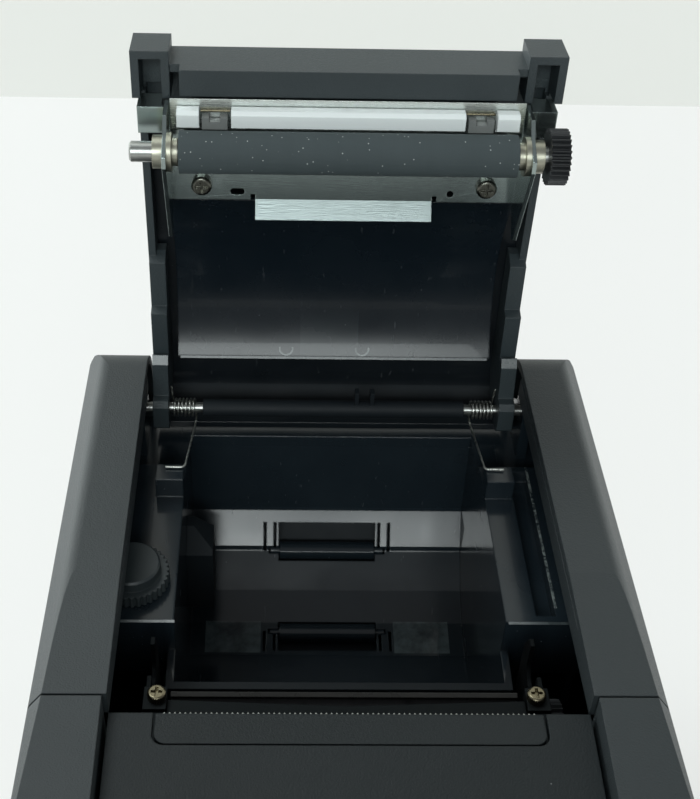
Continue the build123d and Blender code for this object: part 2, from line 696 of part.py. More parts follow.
def front_wing():
    """Right front end of the body, beside the cutter cover, with the rail the cover slides on."""
    outer = section_prism(0, FRONT, SEAM_Y) & front_side_prism(0, 0, SEAM_Y)
    outer = outer & plan_prism(0, 0, SHOULDER_HEIGHT + 1)
    inner = section_prism(WALL, FRONT, SEAM_Y + 1) & front_side_prism(0, WALL, SEAM_Y)
    inner = inner & plan_prism(WALL, 0, SHOULDER_HEIGHT + 1)
    keep = block(WING_INSIDE, HALF + 1, FRONT - 1, SEAM_Y, SPLIT_HEIGHT, SHOULDER_HEIGHT)
    inside_wall = outer & block(
        WING_INSIDE, WING_INSIDE + WALL, FRONT, SEAM_Y, SPLIT_HEIGHT, SHOULDER_HEIGHT
    )
    rail = block(
        WING_INSIDE - RAIL_WIDTH, WING_INSIDE + WALL / 2, FRONT + RAIL_FROM_FRONT, SEAM_Y - COVER_GAP,
        RAIL_TOP - RAIL_HEIGHT, RAIL_TOP,
    )
    return ((outer - inner) & keep) + inside_wall + rail


def front_fascia():
    """Fixed lower front wall with the button opening and the lamp holes."""
    wall = block(-WING_INSIDE, WING_INSIDE, FRONT, FRONT + WALL, SPLIT_HEIGHT, COVER_BOTTOM - COVER_GAP)
    wall -= block(
        BUTTON_X - BUTTON_WIDTH / 2 - RUN_GAP, BUTTON_X + BUTTON_WIDTH / 2 + RUN_GAP,
        FRONT - 1, FRONT + 2 * WALL,
        BUTTON_Z - BUTTON_HEIGHT / 2 - RUN_GAP, BUTTON_Z + BUTTON_HEIGHT / 2 + RUN_GAP,
    )
    for x in lens_places():
        wall -= rod_y(LENS_DIAMETER / 2, FRONT - 1, FRONT + 2 * WALL, x, BUTTON_Z)
    return wall


def lens_places():
    """Three status lamps in a row, mirrored from the button's side."""
    return [-BUTTON_X + number * LENS_PITCH for number in range(3)]


def status_lenses():
    """Clear lamp rods that end flush with the fascia."""
    rods = [rod_y(LENS_DIAMETER / 2, FRONT, PANEL_BOARD_Y, x, BUTTON_Z) for x in lens_places()]
    return Part() + rods


def feed_button():
    """Button cap with its stem to the switch."""
    cap = block(
        BUTTON_X - BUTTON_WIDTH / 2, BUTTON_X + BUTTON_WIDTH / 2, FRONT, FRONT + WALL,
        BUTTON_Z - BUTTON_HEIGHT / 2, BUTTON_Z + BUTTON_HEIGHT / 2,
    )
    cap = fillet(cap.edges().filter_by(Axis.Y), 1.2)
    stem = rod_y(1.6, FRONT + WALL / 2, SWITCH_FRONT - BUTTON_STROKE - RUN_GAP, BUTTON_X, BUTTON_Z)
    return cap + stem


def panel_board():
    """Small board behind the fascia, with the push switch under the button's stem."""
    x = -lens_places()[0] + BUTTON_WIDTH / 2
    board = block(-x, x, PANEL_BOARD_Y, PANEL_BOARD_Y + BOARD_THICKNESS, BUTTON_Z - 9, BUTTON_Z + 9)
    switch = block(BUTTON_X - 3, BUTTON_X + 3, SWITCH_FRONT, PANEL_BOARD_Y, BUTTON_Z - 3, BUTTON_Z + 3)
    post = both_sides(rod_y(2.5, FRONT + WALL, PANEL_BOARD_Y, 8, BUTTON_Z + 5.5))
    return board + switch + post


def cutter_cover():
    """Front panel over the cutter: a shell with side flanges and a cut-out round the tear bar."""
    half = WING_INSIDE - COVER_SIDE_GAP
    rear = TEAR_Y - COVER_GAP
    band = block(-half, half, FRONT - 1, rear, COVER_BOTTOM, SHOULDER_HEIGHT)
    outer = front_side_prism(PANEL_DROP, 0, rear) & band
    inner = front_side_prism(PANEL_DROP, COVER_THICKNESS, rear) & block(
        -HALF, HALF, FRONT, rear + 1, 0, SHOULDER_HEIGHT
    )
    shell = outer - inner
    flange = block(
        half - COVER_THICKNESS, half, FRONT + RAIL_FROM_FRONT + COVER_TRAVEL, rear,
        RAIL_TOP + RUN_GAP, SHOULDER_HEIGHT,
    )
    shell += both_sides(flange) & outer
    cut_half = HOLDER_WIDTH / 2 + COVER_GAP
    front = TEAR_Y - HOLDER_DEPTH - COVER_GAP
    opening = block(-cut_half, cut_half, front, rear + 1, BLADE_TOP, SHOULDER_HEIGHT)
    corners = opening.edges().filter_by(Axis.Z).group_by(Axis.Y)[0]
    return shell - fillet(corners, HOLDER_ROUND)


def tear_bar_holder():
    """Bar that carries the serrated strip in a slot under its top skin."""
    half = HOLDER_WIDTH / 2
    bar = block(-half, half, TEAR_Y - HOLDER_DEPTH, TEAR_Y, CUTTER_LID_TOP, TEAR_HEIGHT)
    bar = fillet(bar.edges().filter_by(Axis.Z).group_by(Axis.Y)[0], HOLDER_ROUND)
    slot_top = TEAR_HEIGHT - TEAR_BAR_THICKNESS
    bar -= block(-half, half, TEAR_Y - TEAR_BAR_DEPTH, TEAR_Y + 1, slot_top - TEAR_BAR_THICKNESS, slot_top)
    hollow = block(
        -half + WALL, half - WALL, TEAR_Y - HOLDER_DEPTH + WALL, TEAR_Y + 1,
        CUTTER_LID_TOP - 1, slot_top - 2 * TEAR_BAR_THICKNESS - 1,
    )
    return bar - hollow


def tear_bar():
    """Serrated steel strip whose teeth point back over the paper exit."""
    half = TEAR_TOOTH_PITCH * TEAR_TOOTH_COUNT / 2
    points = [(-half, TEAR_Y - TEAR_BAR_DEPTH), (-half, TEAR_Y)]
    for number in range(TEAR_TOOTH_COUNT):
        x = -half + number * TEAR_TOOTH_PITCH
        points.append((x + TEAR_TOOTH_PITCH / 2, TEAR_Y + TEAR_TOOTH_DEPTH))
        points.append((x + TEAR_TOOTH_PITCH, TEAR_Y))
    points.append((half, TEAR_Y - TEAR_BAR_DEPTH))
    strip = extrude(make_face(Polyline(*points, close=True)), TEAR_BAR_THICKNESS)
    return Pos(0, 0, TEAR_HEIGHT - 2 * TEAR_BAR_THICKNESS) * strip


def arc_points(radius, angles):
    """Points of the bucket's round, by angles from its lowest point towards the rear."""
    return [(ROLL_Y + radius * sin(radians(a)), ROLL_Z - radius * cos(radians(a))) for a in angles]


def on_trough(angle, radius):
    """A frame on the trough's wall: x across, y up the wall to the rear, z out of the bucket."""
    (y, z), = arc_points(radius, [angle])
    out = (0, sin(radians(angle)), -cos(radians(angle)))
    return Plane(origin=(0, y, z), x_dir=(-1, 0, 0), z_dir=out)


def paper_bucket():
    """Drop-in paper trough with its side blocks, roller clips, hinge ears and legs."""
    outer = TROUGH_RADIUS + BUCKET_WALL
    rear_wall = ROLL_Y + TROUGH_RADIUS * sin(radians(TROUGH_ANGLES[-1])) + TROUGH_REAR_STEP
    front_top = (ROLL_Y - outer, TROUGH_FRONT_TOP)
    deck_top = DECK_HEIGHT
    deck_rear = REAR - WALL - RUN_GAP
    skin = [(rear_wall + BUCKET_WALL, deck_top), front_top] + arc_points(outer, TROUGH_ANGLES)
    hollow = [(rear_wall, SHOULDER_HEIGHT), (ROLL_Y - TROUGH_RADIUS, SHOULDER_HEIGHT)]
    hollow += arc_points(TROUGH_RADIUS, TROUGH_ANGLES)
    hollow.append((rear_wall, deck_top - 2 * BUCKET_WALL))
    wall_out = BUCKET_HALF + BUCKET_WALL
    side = [
        (rear_wall + BUCKET_WALL, deck_top), (BLOCK_REAR, deck_top), (BLOCK_REAR, BLOCK_TOP),
        (BLOCK_FRONT, BLOCK_TOP), (BLOCK_FRONT, TROUGH_FRONT_TOP), front_top,
    ] + arc_points(outer, TROUGH_ANGLES)
    tub = side_solid(skin, -wall_out, wall_out)
    tub += both_sides(side_solid(side, BUCKET_HALF, wall_out))
    block_out = HALF - WALL - 1
    inner_out = BUCKET_HALF
    tops = block(inner_out, block_out, BLOCK_FRONT, BLOCK_REAR, BLOCK_TOP - BUCKET_WALL, BLOCK_TOP)
    tops += block(
        inner_out, block_out, BLOCK_FRONT, BLOCK_FRONT + BUCKET_WALL, BLOCK_WALL_BOTTOM, BLOCK_TOP
    )
    tops += block(inner_out, LEG_X + BUCKET_WALL, BLOCK_REAR - BUCKET_WALL, rear_wall + BUCKET_WALL,
                  deck_top - BUCKET_WALL, deck_top)
    tops += block(
        inner_out, block_out, BLOCK_REAR - BUCKET_WALL, BLOCK_REAR, deck_top - BUCKET_WALL, BLOCK_TOP
    )
    tops += block(LEG_X, LEG_X + BUCKET_WALL, BLOCK_FRONT, deck_rear - 8, FLOOR_TOP, deck_top)
    ear_low = [
        (HINGE_Y - HINGE_EAR_RADIUS, deck_top - 1), (deck_rear, deck_top - 1),
        (deck_rear, HINGE_Z - HINGE_EAR_RADIUS), (HINGE_Y + HINGE_EAR_RADIUS, HINGE_Z),
        (HINGE_Y - HINGE_EAR_RADIUS, HINGE_Z),
    ]
    ear_in = LID_HALF + HINGE_EAR_GAP
    ear_out = ear_in + HINGE_EAR_THICKNESS
    tops += side_solid(ear_low, ear_in, ear_out)
    tops += rod_x(HINGE_EAR_RADIUS, ear_in, ear_out, HINGE_Y, HINGE_Z)
    tub += both_sides(tops)
    tub += block(-LEG_X, LEG_X, rear_wall, deck_rear, deck_top - BUCKET_WALL, deck_top)
    post = block(POST_INNER_X, POST_INNER_X + POST_WIDTH, POST_REAR - POST_DEPTH, POST_REAR,
                 BLOCK_TOP - BUCKET_WALL, POST_TOP)
    tub += both_sides(post)
    for angle, way, length in roller_rooms():
        clip = Rot(0, 90, 0) * Cylinder(ROLLER_CLIP_RADIUS, 2 * ROLLER_CLIP_X)
        tub += on_trough(angle, ROLLER_AXIS) * (clip + roller_cup(way, length))
    tub -= side_solid(hollow, -BUCKET_HALF, BUCKET_HALF)
    for angle, way, length in roller_rooms():
        tub -= on_trough(angle, ROLLER_AXIS) * roller_pocket(way, length)
    tub -= both_sides(
        rod_x(HINGE_SHAFT_DIAMETER / 2 + HINGE_FIT, ear_in - 1, ear_out + 1, HINGE_Y, HINGE_Z)
    )
    tub -= rod_z(
        DIAL_STEM_DIAMETER / 2 + HINGE_FIT, BLOCK_TOP - 2 * BUCKET_WALL, BLOCK_TOP + 1, DIAL_X, DIAL_Y
    )
    channel = (CHANNEL_X, CHANNEL_X + CHANNEL_WIDTH, BLOCK_FRONT + BUCKET_WALL, BLOCK_REAR - BUCKET_WALL)
    rim = (CHANNEL_X - BUCKET_WALL, channel[1] + BUCKET_WALL, channel[2] - 1, channel[3] + 1)
    tub += block(*rim, BLOCK_TOP - CHANNEL_DEPTH - BUCKET_WALL, BLOCK_TOP - BUCKET_WALL / 2)
    tub -= block(*channel, BLOCK_TOP - CHANNEL_DEPTH, BLOCK_TOP + 1)
    return tub


def roller_rooms():
    """Each roller's place on the trough, the way its room runs along the wall, and how far."""
    return [(REAR_ROLLER_ANGLE, 1, POCKET_LENGTH), (FRONT_ROLLER_ANGLE, -1, FRONT_POCKET_LENGTH)]


def room_box(half, before, length, way, depth0, depth1):
    """A box at a roller, given across, along the wall from behind the roller, and outwards."""
    middle = way * (length - before) / 2
    return Pos(0, middle, (depth0 + depth1) / 2) * Box(2 * half, length + before, depth1 - depth0)


def roller_cup(way, length):
    """Thin shell behind the trough's wall that closes the room of one roller and its clips."""
    half = ROLLER_CLIP_X + 2 * SLOT_WIDTH
    depth = ROLLER_CLIP_RADIUS + RUN_GAP
    outside = room_box(half + CUP_WALL, depth + CUP_WALL, length + CUP_WALL, way, -depth, depth + CUP_WALL)
    return outside - room_box(half, depth, length, way, -2 * depth, depth)


def roller_pocket(way, length):
    """Room for one roller, the bores for its pins and the slots that let its clips spring."""
    half = ROLLER_LENGTH / 2 + RUN_GAP
    low = ROLLER_DIAMETER / 2 + RUN_GAP
    inside = -2 * ROLLER_DIAMETER
    pocket = room_box(half, low, length, way, inside, low)
    pocket += Rot(0, 90, 0) * Cylinder(ROLLER_PIN_DIAMETER / 2 + HINGE_FIT, 2 * ROLLER_PIN_END)
    slot = room_box(SLOT_WIDTH / 2, 0, length, way, inside, low)
    for x in (half + CLIP_WEB + SLOT_WIDTH / 2, ROLLER_CLIP_X + SLOT_WIDTH):
        pocket += Pos(x, 0, 0) * slot + Pos(-x, 0, 0) * slot
    return pocket


def bucket_roller(angle):
    """Free-turning roller with its two pins."""
    body = Cylinder(ROLLER_DIAMETER / 2, ROLLER_LENGTH) + Cylinder(
        ROLLER_PIN_DIAMETER / 2, 2 * ROLLER_PIN_END - 1
    )
    return on_trough(angle, ROLLER_AXIS) * Rot(0, 90, 0) * body


def near_end_sensor():
    """Sensor housing with a sloping top on the bucket's left wall."""
    top = SENSOR_BOTTOM + SENSOR_HEIGHT
    points = [
        (SENSOR_Y - SENSOR_DEPTH, SENSOR_BOTTOM), (SENSOR_Y, SENSOR_BOTTOM + 2), (SENSOR_Y, top),
        (SENSOR_Y - 4, top), (SENSOR_Y - SENSOR_DEPTH, top - 5),
    ]
    left = -BUCKET_HALF
    right = left + SENSOR_WIDTH
    roof = [
        (left, SENSOR_BOTTOM), (right, SENSOR_BOTTOM), (right, top - SENSOR_ROOF_FALL),
        (left + SENSOR_ROOF_WIDTH, top), (left, top),
    ]
    front_view = extrude(Plane.XZ * make_face(Polyline(*roof, close=True)), SENSOR_DEPTH)
    return side_solid(points, left, right) & Pos(0, SENSOR_Y, 0) * front_view


def near_end_dial():
    """Knurled dial with a raised round top, on a stem through the left block."""
    step = 2 * pi / DIAL_TEETH
    root = DIAL_RADIUS - DIAL_TOOTH_DEPTH
    points = []
    for number in range(DIAL_TEETH):
        for part, radius in ((0, root), (0.3, DIAL_RADIUS), (0.6, DIAL_RADIUS), (0.9, root)):
            angle = (number + part) * step
            points.append((radius * cos(angle), radius * sin(angle)))
    base = BLOCK_TOP + RUN_GAP
    skirt = Pos(DIAL_X, DIAL_Y, base) * extrude(make_face(Polyline(*points, close=True)), DIAL_SKIRT_HEIGHT)
    top = rod_z(DIAL_TOP_RADIUS, base + 1, base + DIAL_SKIRT_HEIGHT + DIAL_TOP_HEIGHT, DIAL_X, DIAL_Y)
    top = chamfer(top.edges().group_by(Axis.Z)[-1], 0.5)
    stem = rod_z(DIAL_STEM_DIAMETER / 2, BLOCK_TOP - 3 * BUCKET_WALL, base + 1, DIAL_X, DIAL_Y)
    return skirt + top + stem


def hinge_shaft():
    """Steel pin through the ears, the lid's arms and the sleeve."""
    end = LID_HALF + HINGE_EAR_GAP + HINGE_EAR_THICKNESS + 0.4
    return rod_x(HINGE_SHAFT_DIAMETER / 2, -end, end, HINGE_Y, HINGE_Z)


def shaft_sleeve():
    """Plastic tube round the middle of the hinge pin, with a small fork."""
    half = SLEEVE_LENGTH / 2
    sleeve = rod_x(SLEEVE_DIAMETER / 2, -half, half, HINGE_Y, HINGE_Z)
    for x in (FORK_X, FORK_X + FORK_PITCH):
        sleeve += block(
            x, x + FORK_THICKNESS, HINGE_Y - FORK_THICKNESS, HINGE_Y + FORK_THICKNESS,
            HINGE_Z, HINGE_Z + FORK_HEIGHT
        )
    return sleeve - rod_x(HINGE_SHAFT_DIAMETER / 2 + HINGE_FIT, -half - 1, half + 1, HINGE_Y, HINGE_Z)


def hinge_spring():
    """Right torsion spring: coils round the pin, a hooked leg forward to the post, a short leg upwards."""
    edges, knots = coil_path(SPRING_RADIUS, SPRING_PITCH, SPRING_TURNS)
    report_coil_gap("hinge spring", edges, SPRING_TURNS, SPRING_WIRE)
    start, start_tangent = knots[0]
    end, end_tangent = knots[-1]
    bend = Vector(SPRING_RADIUS, -SPRING_LEG_BEND, 0)
    corner = Vector(SPRING_RADIUS, -SPRING_LEG, SPRING_LEG_LEAN)
    along = (bend - corner).normalized()
    inward = Vector(0, 0, -1)
    hook = corner + Vector(0, -2 * SPRING_WIRE, 2 * SPRING_WIRE)
    hook_end = hook - inward * (SPRING_HOOK - SPRING_LEG_LEAN)
    leg = [Line(hook_end, hook)] + biarc(hook, inward, corner, along)
    leg += [Line(corner, bend)] + biarc(bend, along, start, start_tangent)
    tail = Line(end, end + end_tangent * SPRING_TAIL)
    wire = wire_tube(leg + edges + [tail], hook_end, inward, SPRING_WIRE)
    tilt = radians(SPRING_LEG_TILT)
    lie = Plane(
        origin=(SPRING_INSIDE, HINGE_Y, HINGE_Z), x_dir=(0, -sin(tilt), -cos(tilt)), z_dir=(1, 0, 0)
    )
    return lie * wire


def mechanism_frame():
    """Folded steel frame: two side plates with platen slots, a front plate, a floor and a spring bar."""
    top = BED_BOTTOM
    back = PLATEN_Y + BUSHING_DIAMETER / 2 + MECHANISM_BEHIND_SLOT
    side = [
        (MECHANISM_FRONT, MECHANISM_BOTTOM), (back, MECHANISM_BOTTOM), (back, PLATEN_Z),
        (back - 3, top), (MECHANISM_FRONT, top),
    ]
    plate = side_solid(side, FRAME_INSIDE, FRAME_INSIDE + SHEET)
    slot_radius = BUSHING_DIAMETER / 2 + RUN_GAP
    plate -= rod_x(slot_radius, FRAME_INSIDE - 1, FRAME_INSIDE + 2 * SHEET, PLATEN_Y, PLATEN_Z)
    plate -= block(
        FRAME_INSIDE - 1, FRAME_INSIDE + 2 * SHEET, PLATEN_Y - slot_radius - 0.6, PLATEN_Y + slot_radius,
        PLATEN_Z, top + 1,
    )
    frame = both_sides(plate)
    width = FRAME_INSIDE + SHEET
    frame += block(-width, width, MECHANISM_FRONT, back, MECHANISM_BOTTOM, MECHANISM_BOTTOM + SHEET)
    frame += block(-width, width, MECHANISM_FRONT, MECHANISM_FRONT + SHEET, MECHANISM_BOTTOM, top - 6)
    bar = Pos(0, -HEAD_BAR_HEIGHT / 2, HEAD_BAR_DEPTH) * Box(2 * width - SHEET, HEAD_BAR_HEIGHT, SHEET)
    frame += head_plane() * bar
    for y, z in gear_centres()[:2]:
        frame += rod_x(STUD_DIAMETER / 2, width - SHEET / 2, OPENING_HALF, y, z)
    pinion_y, pinion_z = gear_centres()[2]
    frame -= rod_x(STUD_DIAMETER, FRAME_INSIDE - 1, width + 1, pinion_y, pinion_z)
    return frame


def head_plane():
    """Frame on the print line: x across, y up along the paper, z away from the platen."""
    tilt = radians(HEAD_TILT)
    reach = PLATEN_DIAMETER / 2 + HEAD_GAP
    origin = (0, PLATEN_Y - reach * cos(tilt), PLATEN_Z - reach * sin(tilt))
    return Plane(origin=origin, x_dir=(1, 0, 0), z_dir=(0, -cos(tilt), -sin(tilt)))


def head_box(half_width, low, high, depth0, depth1):
    """A block of the print head, given along the paper and away from the platen."""
    centre = Pos(0, (low + high) / 2, (depth0 + depth1) / 2)
    return head_plane() * (centre * Box(2 * half_width, high - low, depth1 - depth0))


def print_head_ceramic():
    """Thin heater plate facing the platen."""
    half = PAPER_WIDTH / 2 + 1
    return head_box(half, CERAMIC_ABOVE_LINE - CERAMIC_HEIGHT, CERAMIC_ABOVE_LINE, 0, CERAMIC_THICKNESS)


def print_head_heatsink():
    """Aluminium carrier behind the heater plate, with cooling ribs and the pivot bore."""
    half = PAPER_WIDTH / 2 + 1
    high = CERAMIC_ABOVE_LINE - 2
    back = CERAMIC_THICKNESS + HEATSINK_THICKNESS
    body = head_box(half, high - HEATSINK_HEIGHT, high, CERAMIC_THICKNESS, back)
    pitch = 2 * half / FIN_COUNT
    for number in range(FIN_COUNT - 1):
        middle = (number + 1) * pitch - half
        groove = Pos(middle, high - HEATSINK_HEIGHT / 2, back) * Box(
            pitch / 2, HEATSINK_HEIGHT + 1, FIN_DEPTH
        )
        body -= head_plane() * groove
    return body - head_plane() * pivot_rod(half + 1, HEAD_PIVOT_DIAMETER / 2 + HINGE_FIT)


def pivot_rod(half, radius):
    """A bar across the head at its pivot."""
    place = Pos(0, CERAMIC_ABOVE_LINE - HEATSINK_HEIGHT + 1, CERAMIC_THICKNESS + HEATSINK_THICKNESS / 2)
    return place * Rot(0, 90, 0) * Cylinder(radius, 2 * half)


def head_pivot():
    """Steel bar that carries the head between the side plates."""
    return head_plane() * pivot_rod(FRAME_INSIDE, HEAD_PIVOT_DIAMETER / 2)


def head_springs():
    """Two compression springs that press the head towards the platen."""
    edges, knots = coil_path(HEAD_SPRING_RADIUS, HEAD_SPRING_PITCH, HEAD_SPRING_TURNS)
    report_coil_gap("head spring", edges, HEAD_SPRING_TURNS, HEAD_SPRING_WIRE)
    wire = wire_tube(edges, knots[0][0], knots[0][1], HEAD_SPRING_WIRE)
    start = CERAMIC_THICKNESS + HEATSINK_THICKNESS + HEAD_SPRING_WIRE / 2 + RUN_GAP
    places = [Pos(x, -HEAD_SPRING_BELOW_LINE, start) for x in (-HEAD_SPRING_X, HEAD_SPRING_X)]
    return Part() + [head_plane() * place * wire for place in places]


def around(y, z, direction, distance):
    """A point at a distance and direction (from +Y towards +Z) in the side view."""
    return y + distance * cos(radians(direction)), z + distance * sin(radians(direction))


def gear_centres():
    """Axes of the two idlers and the motor pinion, each one mesh from the last."""
    first = around(PLATEN_Y, PLATEN_Z, IDLER_DIRECTION, GEAR_MODULE * (PLATEN_TEETH + IDLER_TEETH) / 2)
    second = around(*first, REDUCER_DIRECTION, GEAR_MODULE * (IDLER_TEETH + REDUCER_TEETH) / 2)
    pinion = around(*second, PINION_DIRECTION, GEAR_MODULE * (REDUCER_TEETH + PINION_TEETH) / 2)
    return [first, second, pinion]


def mesh_turn(direction, own_teeth, partner_teeth, partner_turn):
    """Turn that puts a tooth space opposite the partner's tooth along the line of centres."""
    partner_step = 360 / partner_teeth
    phase = ((direction - partner_turn) / partner_step) % 1
    own_step = 360 / own_teeth
    return direction + 180 + own_step * (0.5 + phase)


def gear_turns():
    """Turns of the platen gear when closed, the idlers and the pinion, all in mesh."""
    platen = 0.0
    first = mesh_turn(IDLER_DIRECTION, IDLER_TEETH, PLATEN_TEETH, platen)
    second = mesh_turn(REDUCER_DIRECTION, REDUCER_TEETH, IDLER_TEETH, first)
    pinion = mesh_turn(PINION_DIRECTION, PINION_TEETH, REDUCER_TEETH, second)
    return [platen, first, second, pinion]


def idler(number):
    """One idler of the train, turning on its stud."""
    teeth = (IDLER_TEETH, REDUCER_TEETH)[number]
    y, z = gear_centres()[number]
    return gear(
        teeth, GEAR_WIDTH, GEAR_INSIDE, y, z, STUD_DIAMETER + 2 * HINGE_FIT, gear_turns()[number + 1]
    )


def motor_pinion():
    """Pinion on the feed motor's shaft."""
    y, z = gear_centres()[2]
    pinion = gear(PINION_TEETH, GEAR_WIDTH, GEAR_INSIDE, y, z, 0, gear_turns()[3])
    return pinion + rod_x(MOTOR_SHAFT_DIAMETER / 2, FRAME_INSIDE - MOTOR_LENGTH / 2, GEAR_INSIDE + 1, y, z)


def feed_motor():
    """Stepper motor with its fixing flange, against the right side plate."""
    y, z = gear_centres()[2]
    body = rod_x(MOTOR_DIAMETER / 2, FRAME_INSIDE - MOTOR_LENGTH, FRAME_INSIDE, y, z)
    reach = MOTOR_DIAMETER / 2 + 5
    flange = block(FRAME_INSIDE - SHEET, FRAME_INSIDE, y - reach, y + reach, z - 5, z + 5)
    bore_start = FRAME_INSIDE - MOTOR_LENGTH / 2 - 1
    return body + flange - rod_x(MOTOR_SHAFT_DIAMETER / 2 + HINGE_FIT, bore_start, FRAME_INSIDE + 1, y, z)


def cutter_base():
    """Steel bed of the cutter with side guides, screw ears and the crank's opening."""
    half = FRAME_INSIDE + SHEET
    rear = BLADE_EDGE_Y - CUTTER_BASE_SETBACK
    bed = block(-half, half, rear - CUTTER_BASE_DEPTH, rear, BED_BOTTOM, BED_TOP)
    guide_in = MOVING_BLADE_WIDTH / 2 + RUN_GAP
    ear_in = CUTTER_SCREW_X - SCREW_HEAD_DIAMETER / 2
    ear_rear = LIP_FACE_Y - RUN_GAP + CUTTER_EAR_LENGTH
    side = block(
        guide_in, half, BLADE_EDGE_Y - MOVING_BLADE_DEPTH, ear_rear, BED_BOTTOM, BLADE_TOP + RUN_GAP
    )
    ear = block(ear_in, half, LIP_FACE_Y - RUN_GAP, ear_rear, BLADE_TOP + RUN_GAP, CUTTER_LID_TOP)
    bed += both_sides(side + ear)
    bed -= rod_z(CRANK_RADIUS + CRANK_PIN_DIAMETER, BED_BOTTOM - 1, BED_TOP + 1, 0, CRANK_Y)
    bed -= both_sides(
        rod_z(SCREW_SHANK / 2, BED_BOTTOM - 1, CUTTER_LID_TOP + 1, CUTTER_SCREW_X, CUTTER_SCREW_Y)
    )
    return bed


def cutter_lid():
    """Steel plate that holds the moving blade down, in front of the paper exit."""
    half = FRAME_INSIDE + SHEET
    rear = LIP_FACE_Y - CUTTER_LID_SETBACK
    return block(-half, half, rear - CUTTER_LID_DEPTH, rear, BLADE_TOP + RUN_GAP, CUTTER_LID_TOP)


def cutter_screws():
    """Pan-head screws that hold the cutter bed's rear corners."""
    head = rod_z(
        SCREW_HEAD_DIAMETER / 2, CUTTER_LID_TOP, CUTTER_LID_TOP + 1.9, CUTTER_SCREW_X, CUTTER_SCREW_Y
    )
    head = fillet(head.edges().group_by(Axis.Z)[-1], 0.7)
    shank = rod_z(SCREW_SHANK / 2, BED_BOTTOM, CUTTER_LID_TOP, CUTTER_SCREW_X, CUTTER_SCREW_Y)
    for x, y in ((1.3, 0.35), (0.35, 1.3)):
        head -= block(CUTTER_SCREW_X - x, CUTTER_SCREW_X + x, CUTTER_SCREW_Y - y, CUTTER_SCREW_Y + y,
                      CUTTER_LID_TOP + 1, CUTTER_LID_TOP + 3)
    return both_sides(head + shank)


def moving_blade():
    """Sliding blade with a shallow V edge and the slot for the crank pin."""
    half = MOVING_BLADE_WIDTH / 2
    front = BLADE_EDGE_Y - MOVING_BLADE_DEPTH
    points = [
        (-half, front), (half, front), (half, BLADE_EDGE_Y),
        (0, BLADE_EDGE_Y - BLADE_V), (-half, BLADE_EDGE_Y),
    ]
    blade = Pos(0, 0, BLADE_BOTTOM) * extrude(
        make_face(Polyline(*points, close=True)), BLADE_TOP - BLADE_BOTTOM
    )
    slot = Pos(0, CRANK_Y, BLADE_BOTTOM - 1) * extrude(
        SlotOverall(3 * CRANK_RADIUS, CRANK_PIN_DIAMETER + 1), 3
    )
    return blade - slot


def cutter_crank():
    """Crank wheel under the bed, its pin just below the blade's slot."""
    wheel = rod_z(CRANK_DIAMETER / 2, CRANK_TOP - CRANK_THICKNESS, CRANK_TOP, 0, CRANK_Y)
    wheel += rod_z(CRANK_PIN_DIAMETER / 2, CRANK_TOP, BLADE_BOTTOM - RUN_GAP, CRANK_RADIUS, CRANK_Y)
    return wheel - rod_z(
        STUD_DIAMETER / 2 + HINGE_FIT, CRANK_TOP - 2 * CRANK_THICKNESS, CRANK_TOP + 1, 0, CRANK_Y
    )


def cutter_gearbox():
    """Gear case under the crank with its stud, hanging from the bed on four pillars."""
    case_top = CRANK_TOP - CRANK_THICKNESS - RUN_GAP
    half = CRANK_DIAMETER / 2 + GEARBOX_MARGIN
    case = block(-half, half, CRANK_Y - half, CRANK_Y + half, case_top - GEARBOX_HEIGHT, case_top)
    case = fillet(case.edges().filter_by(Axis.Z), GEARBOX_MARGIN)
    pillar = half - GEARBOX_MARGIN / 2
    for x in (-pillar, pillar):
        for y in (CRANK_Y - pillar, CRANK_Y + pillar):
            case += rod_z(GEARBOX_MARGIN / 2, case_top - GEARBOX_MARGIN, BED_BOTTOM, x, y)
    return case + rod_z(STUD_DIAMETER / 2, case_top - 1, CRANK_TOP, 0, CRANK_Y)


def cutter_motor():
    """Small motor beside the gear case."""
    half = CRANK_DIAMETER / 2 + GEARBOX_MARGIN
    z = CRANK_TOP - CRANK_THICKNESS - RUN_GAP - GEARBOX_HEIGHT / 2
    return rod_x(CUTTER_MOTOR_DIAMETER / 2, -half - CUTTER_MOTOR_LENGTH, -half, CRANK_Y, z)


def main_board():
    """Circuit board on the floor's stand-offs, with its larger components."""
    top = BOARD_TOP
    board = block(
        -BOARD_WIDTH / 2, BOARD_WIDTH / 2, BOARD_REAR - BOARD_DEPTH, BOARD_REAR, BOARD_HEIGHT, top
    )
    for x, depth, wide, deep, high in BOARD_CHIPS:
        back = BOARD_REAR - depth + deep / 2
        board += block(x - wide / 2, x + wide / 2, back - deep, back, top - BOARD_SINK, top + high)
    for x, depth in BOARD_CANS:
        board += rod_z(BOARD_CAN_RADIUS, top - BOARD_SINK, top + BOARD_CAN_HEIGHT, x, BOARD_REAR - depth)
    return board


def rear_plate():
    """Sheet metal connector plate behind the rear window."""
    front = REAR - WALL - RUN_GAP - PLATE_SHEET
    half = WINDOW_WIDTH / 2 + 2
    plate = block(-half, half, front, front + PLATE_SHEET, WINDOW_BOTTOM - 2, WINDOW_TOP + 1)
    for x, width, height in (
        (USB_X, USB_WIDTH, USB_HEIGHT), (JACK_X, JACK_WIDTH, JACK_HEIGHT),
        (POWER_X, POWER_SIZE, POWER_SIZE),
        (SWITCH_X, SWITCH_WIDTH, SWITCH_HEIGHT),
    ):
        plate -= block(
            x - width / 2 - RUN_GAP, x + width / 2 + RUN_GAP, front - 1, front + 2,
            BOARD_TOP - RUN_GAP, BOARD_TOP + height + RUN_GAP,
        )
    return plate


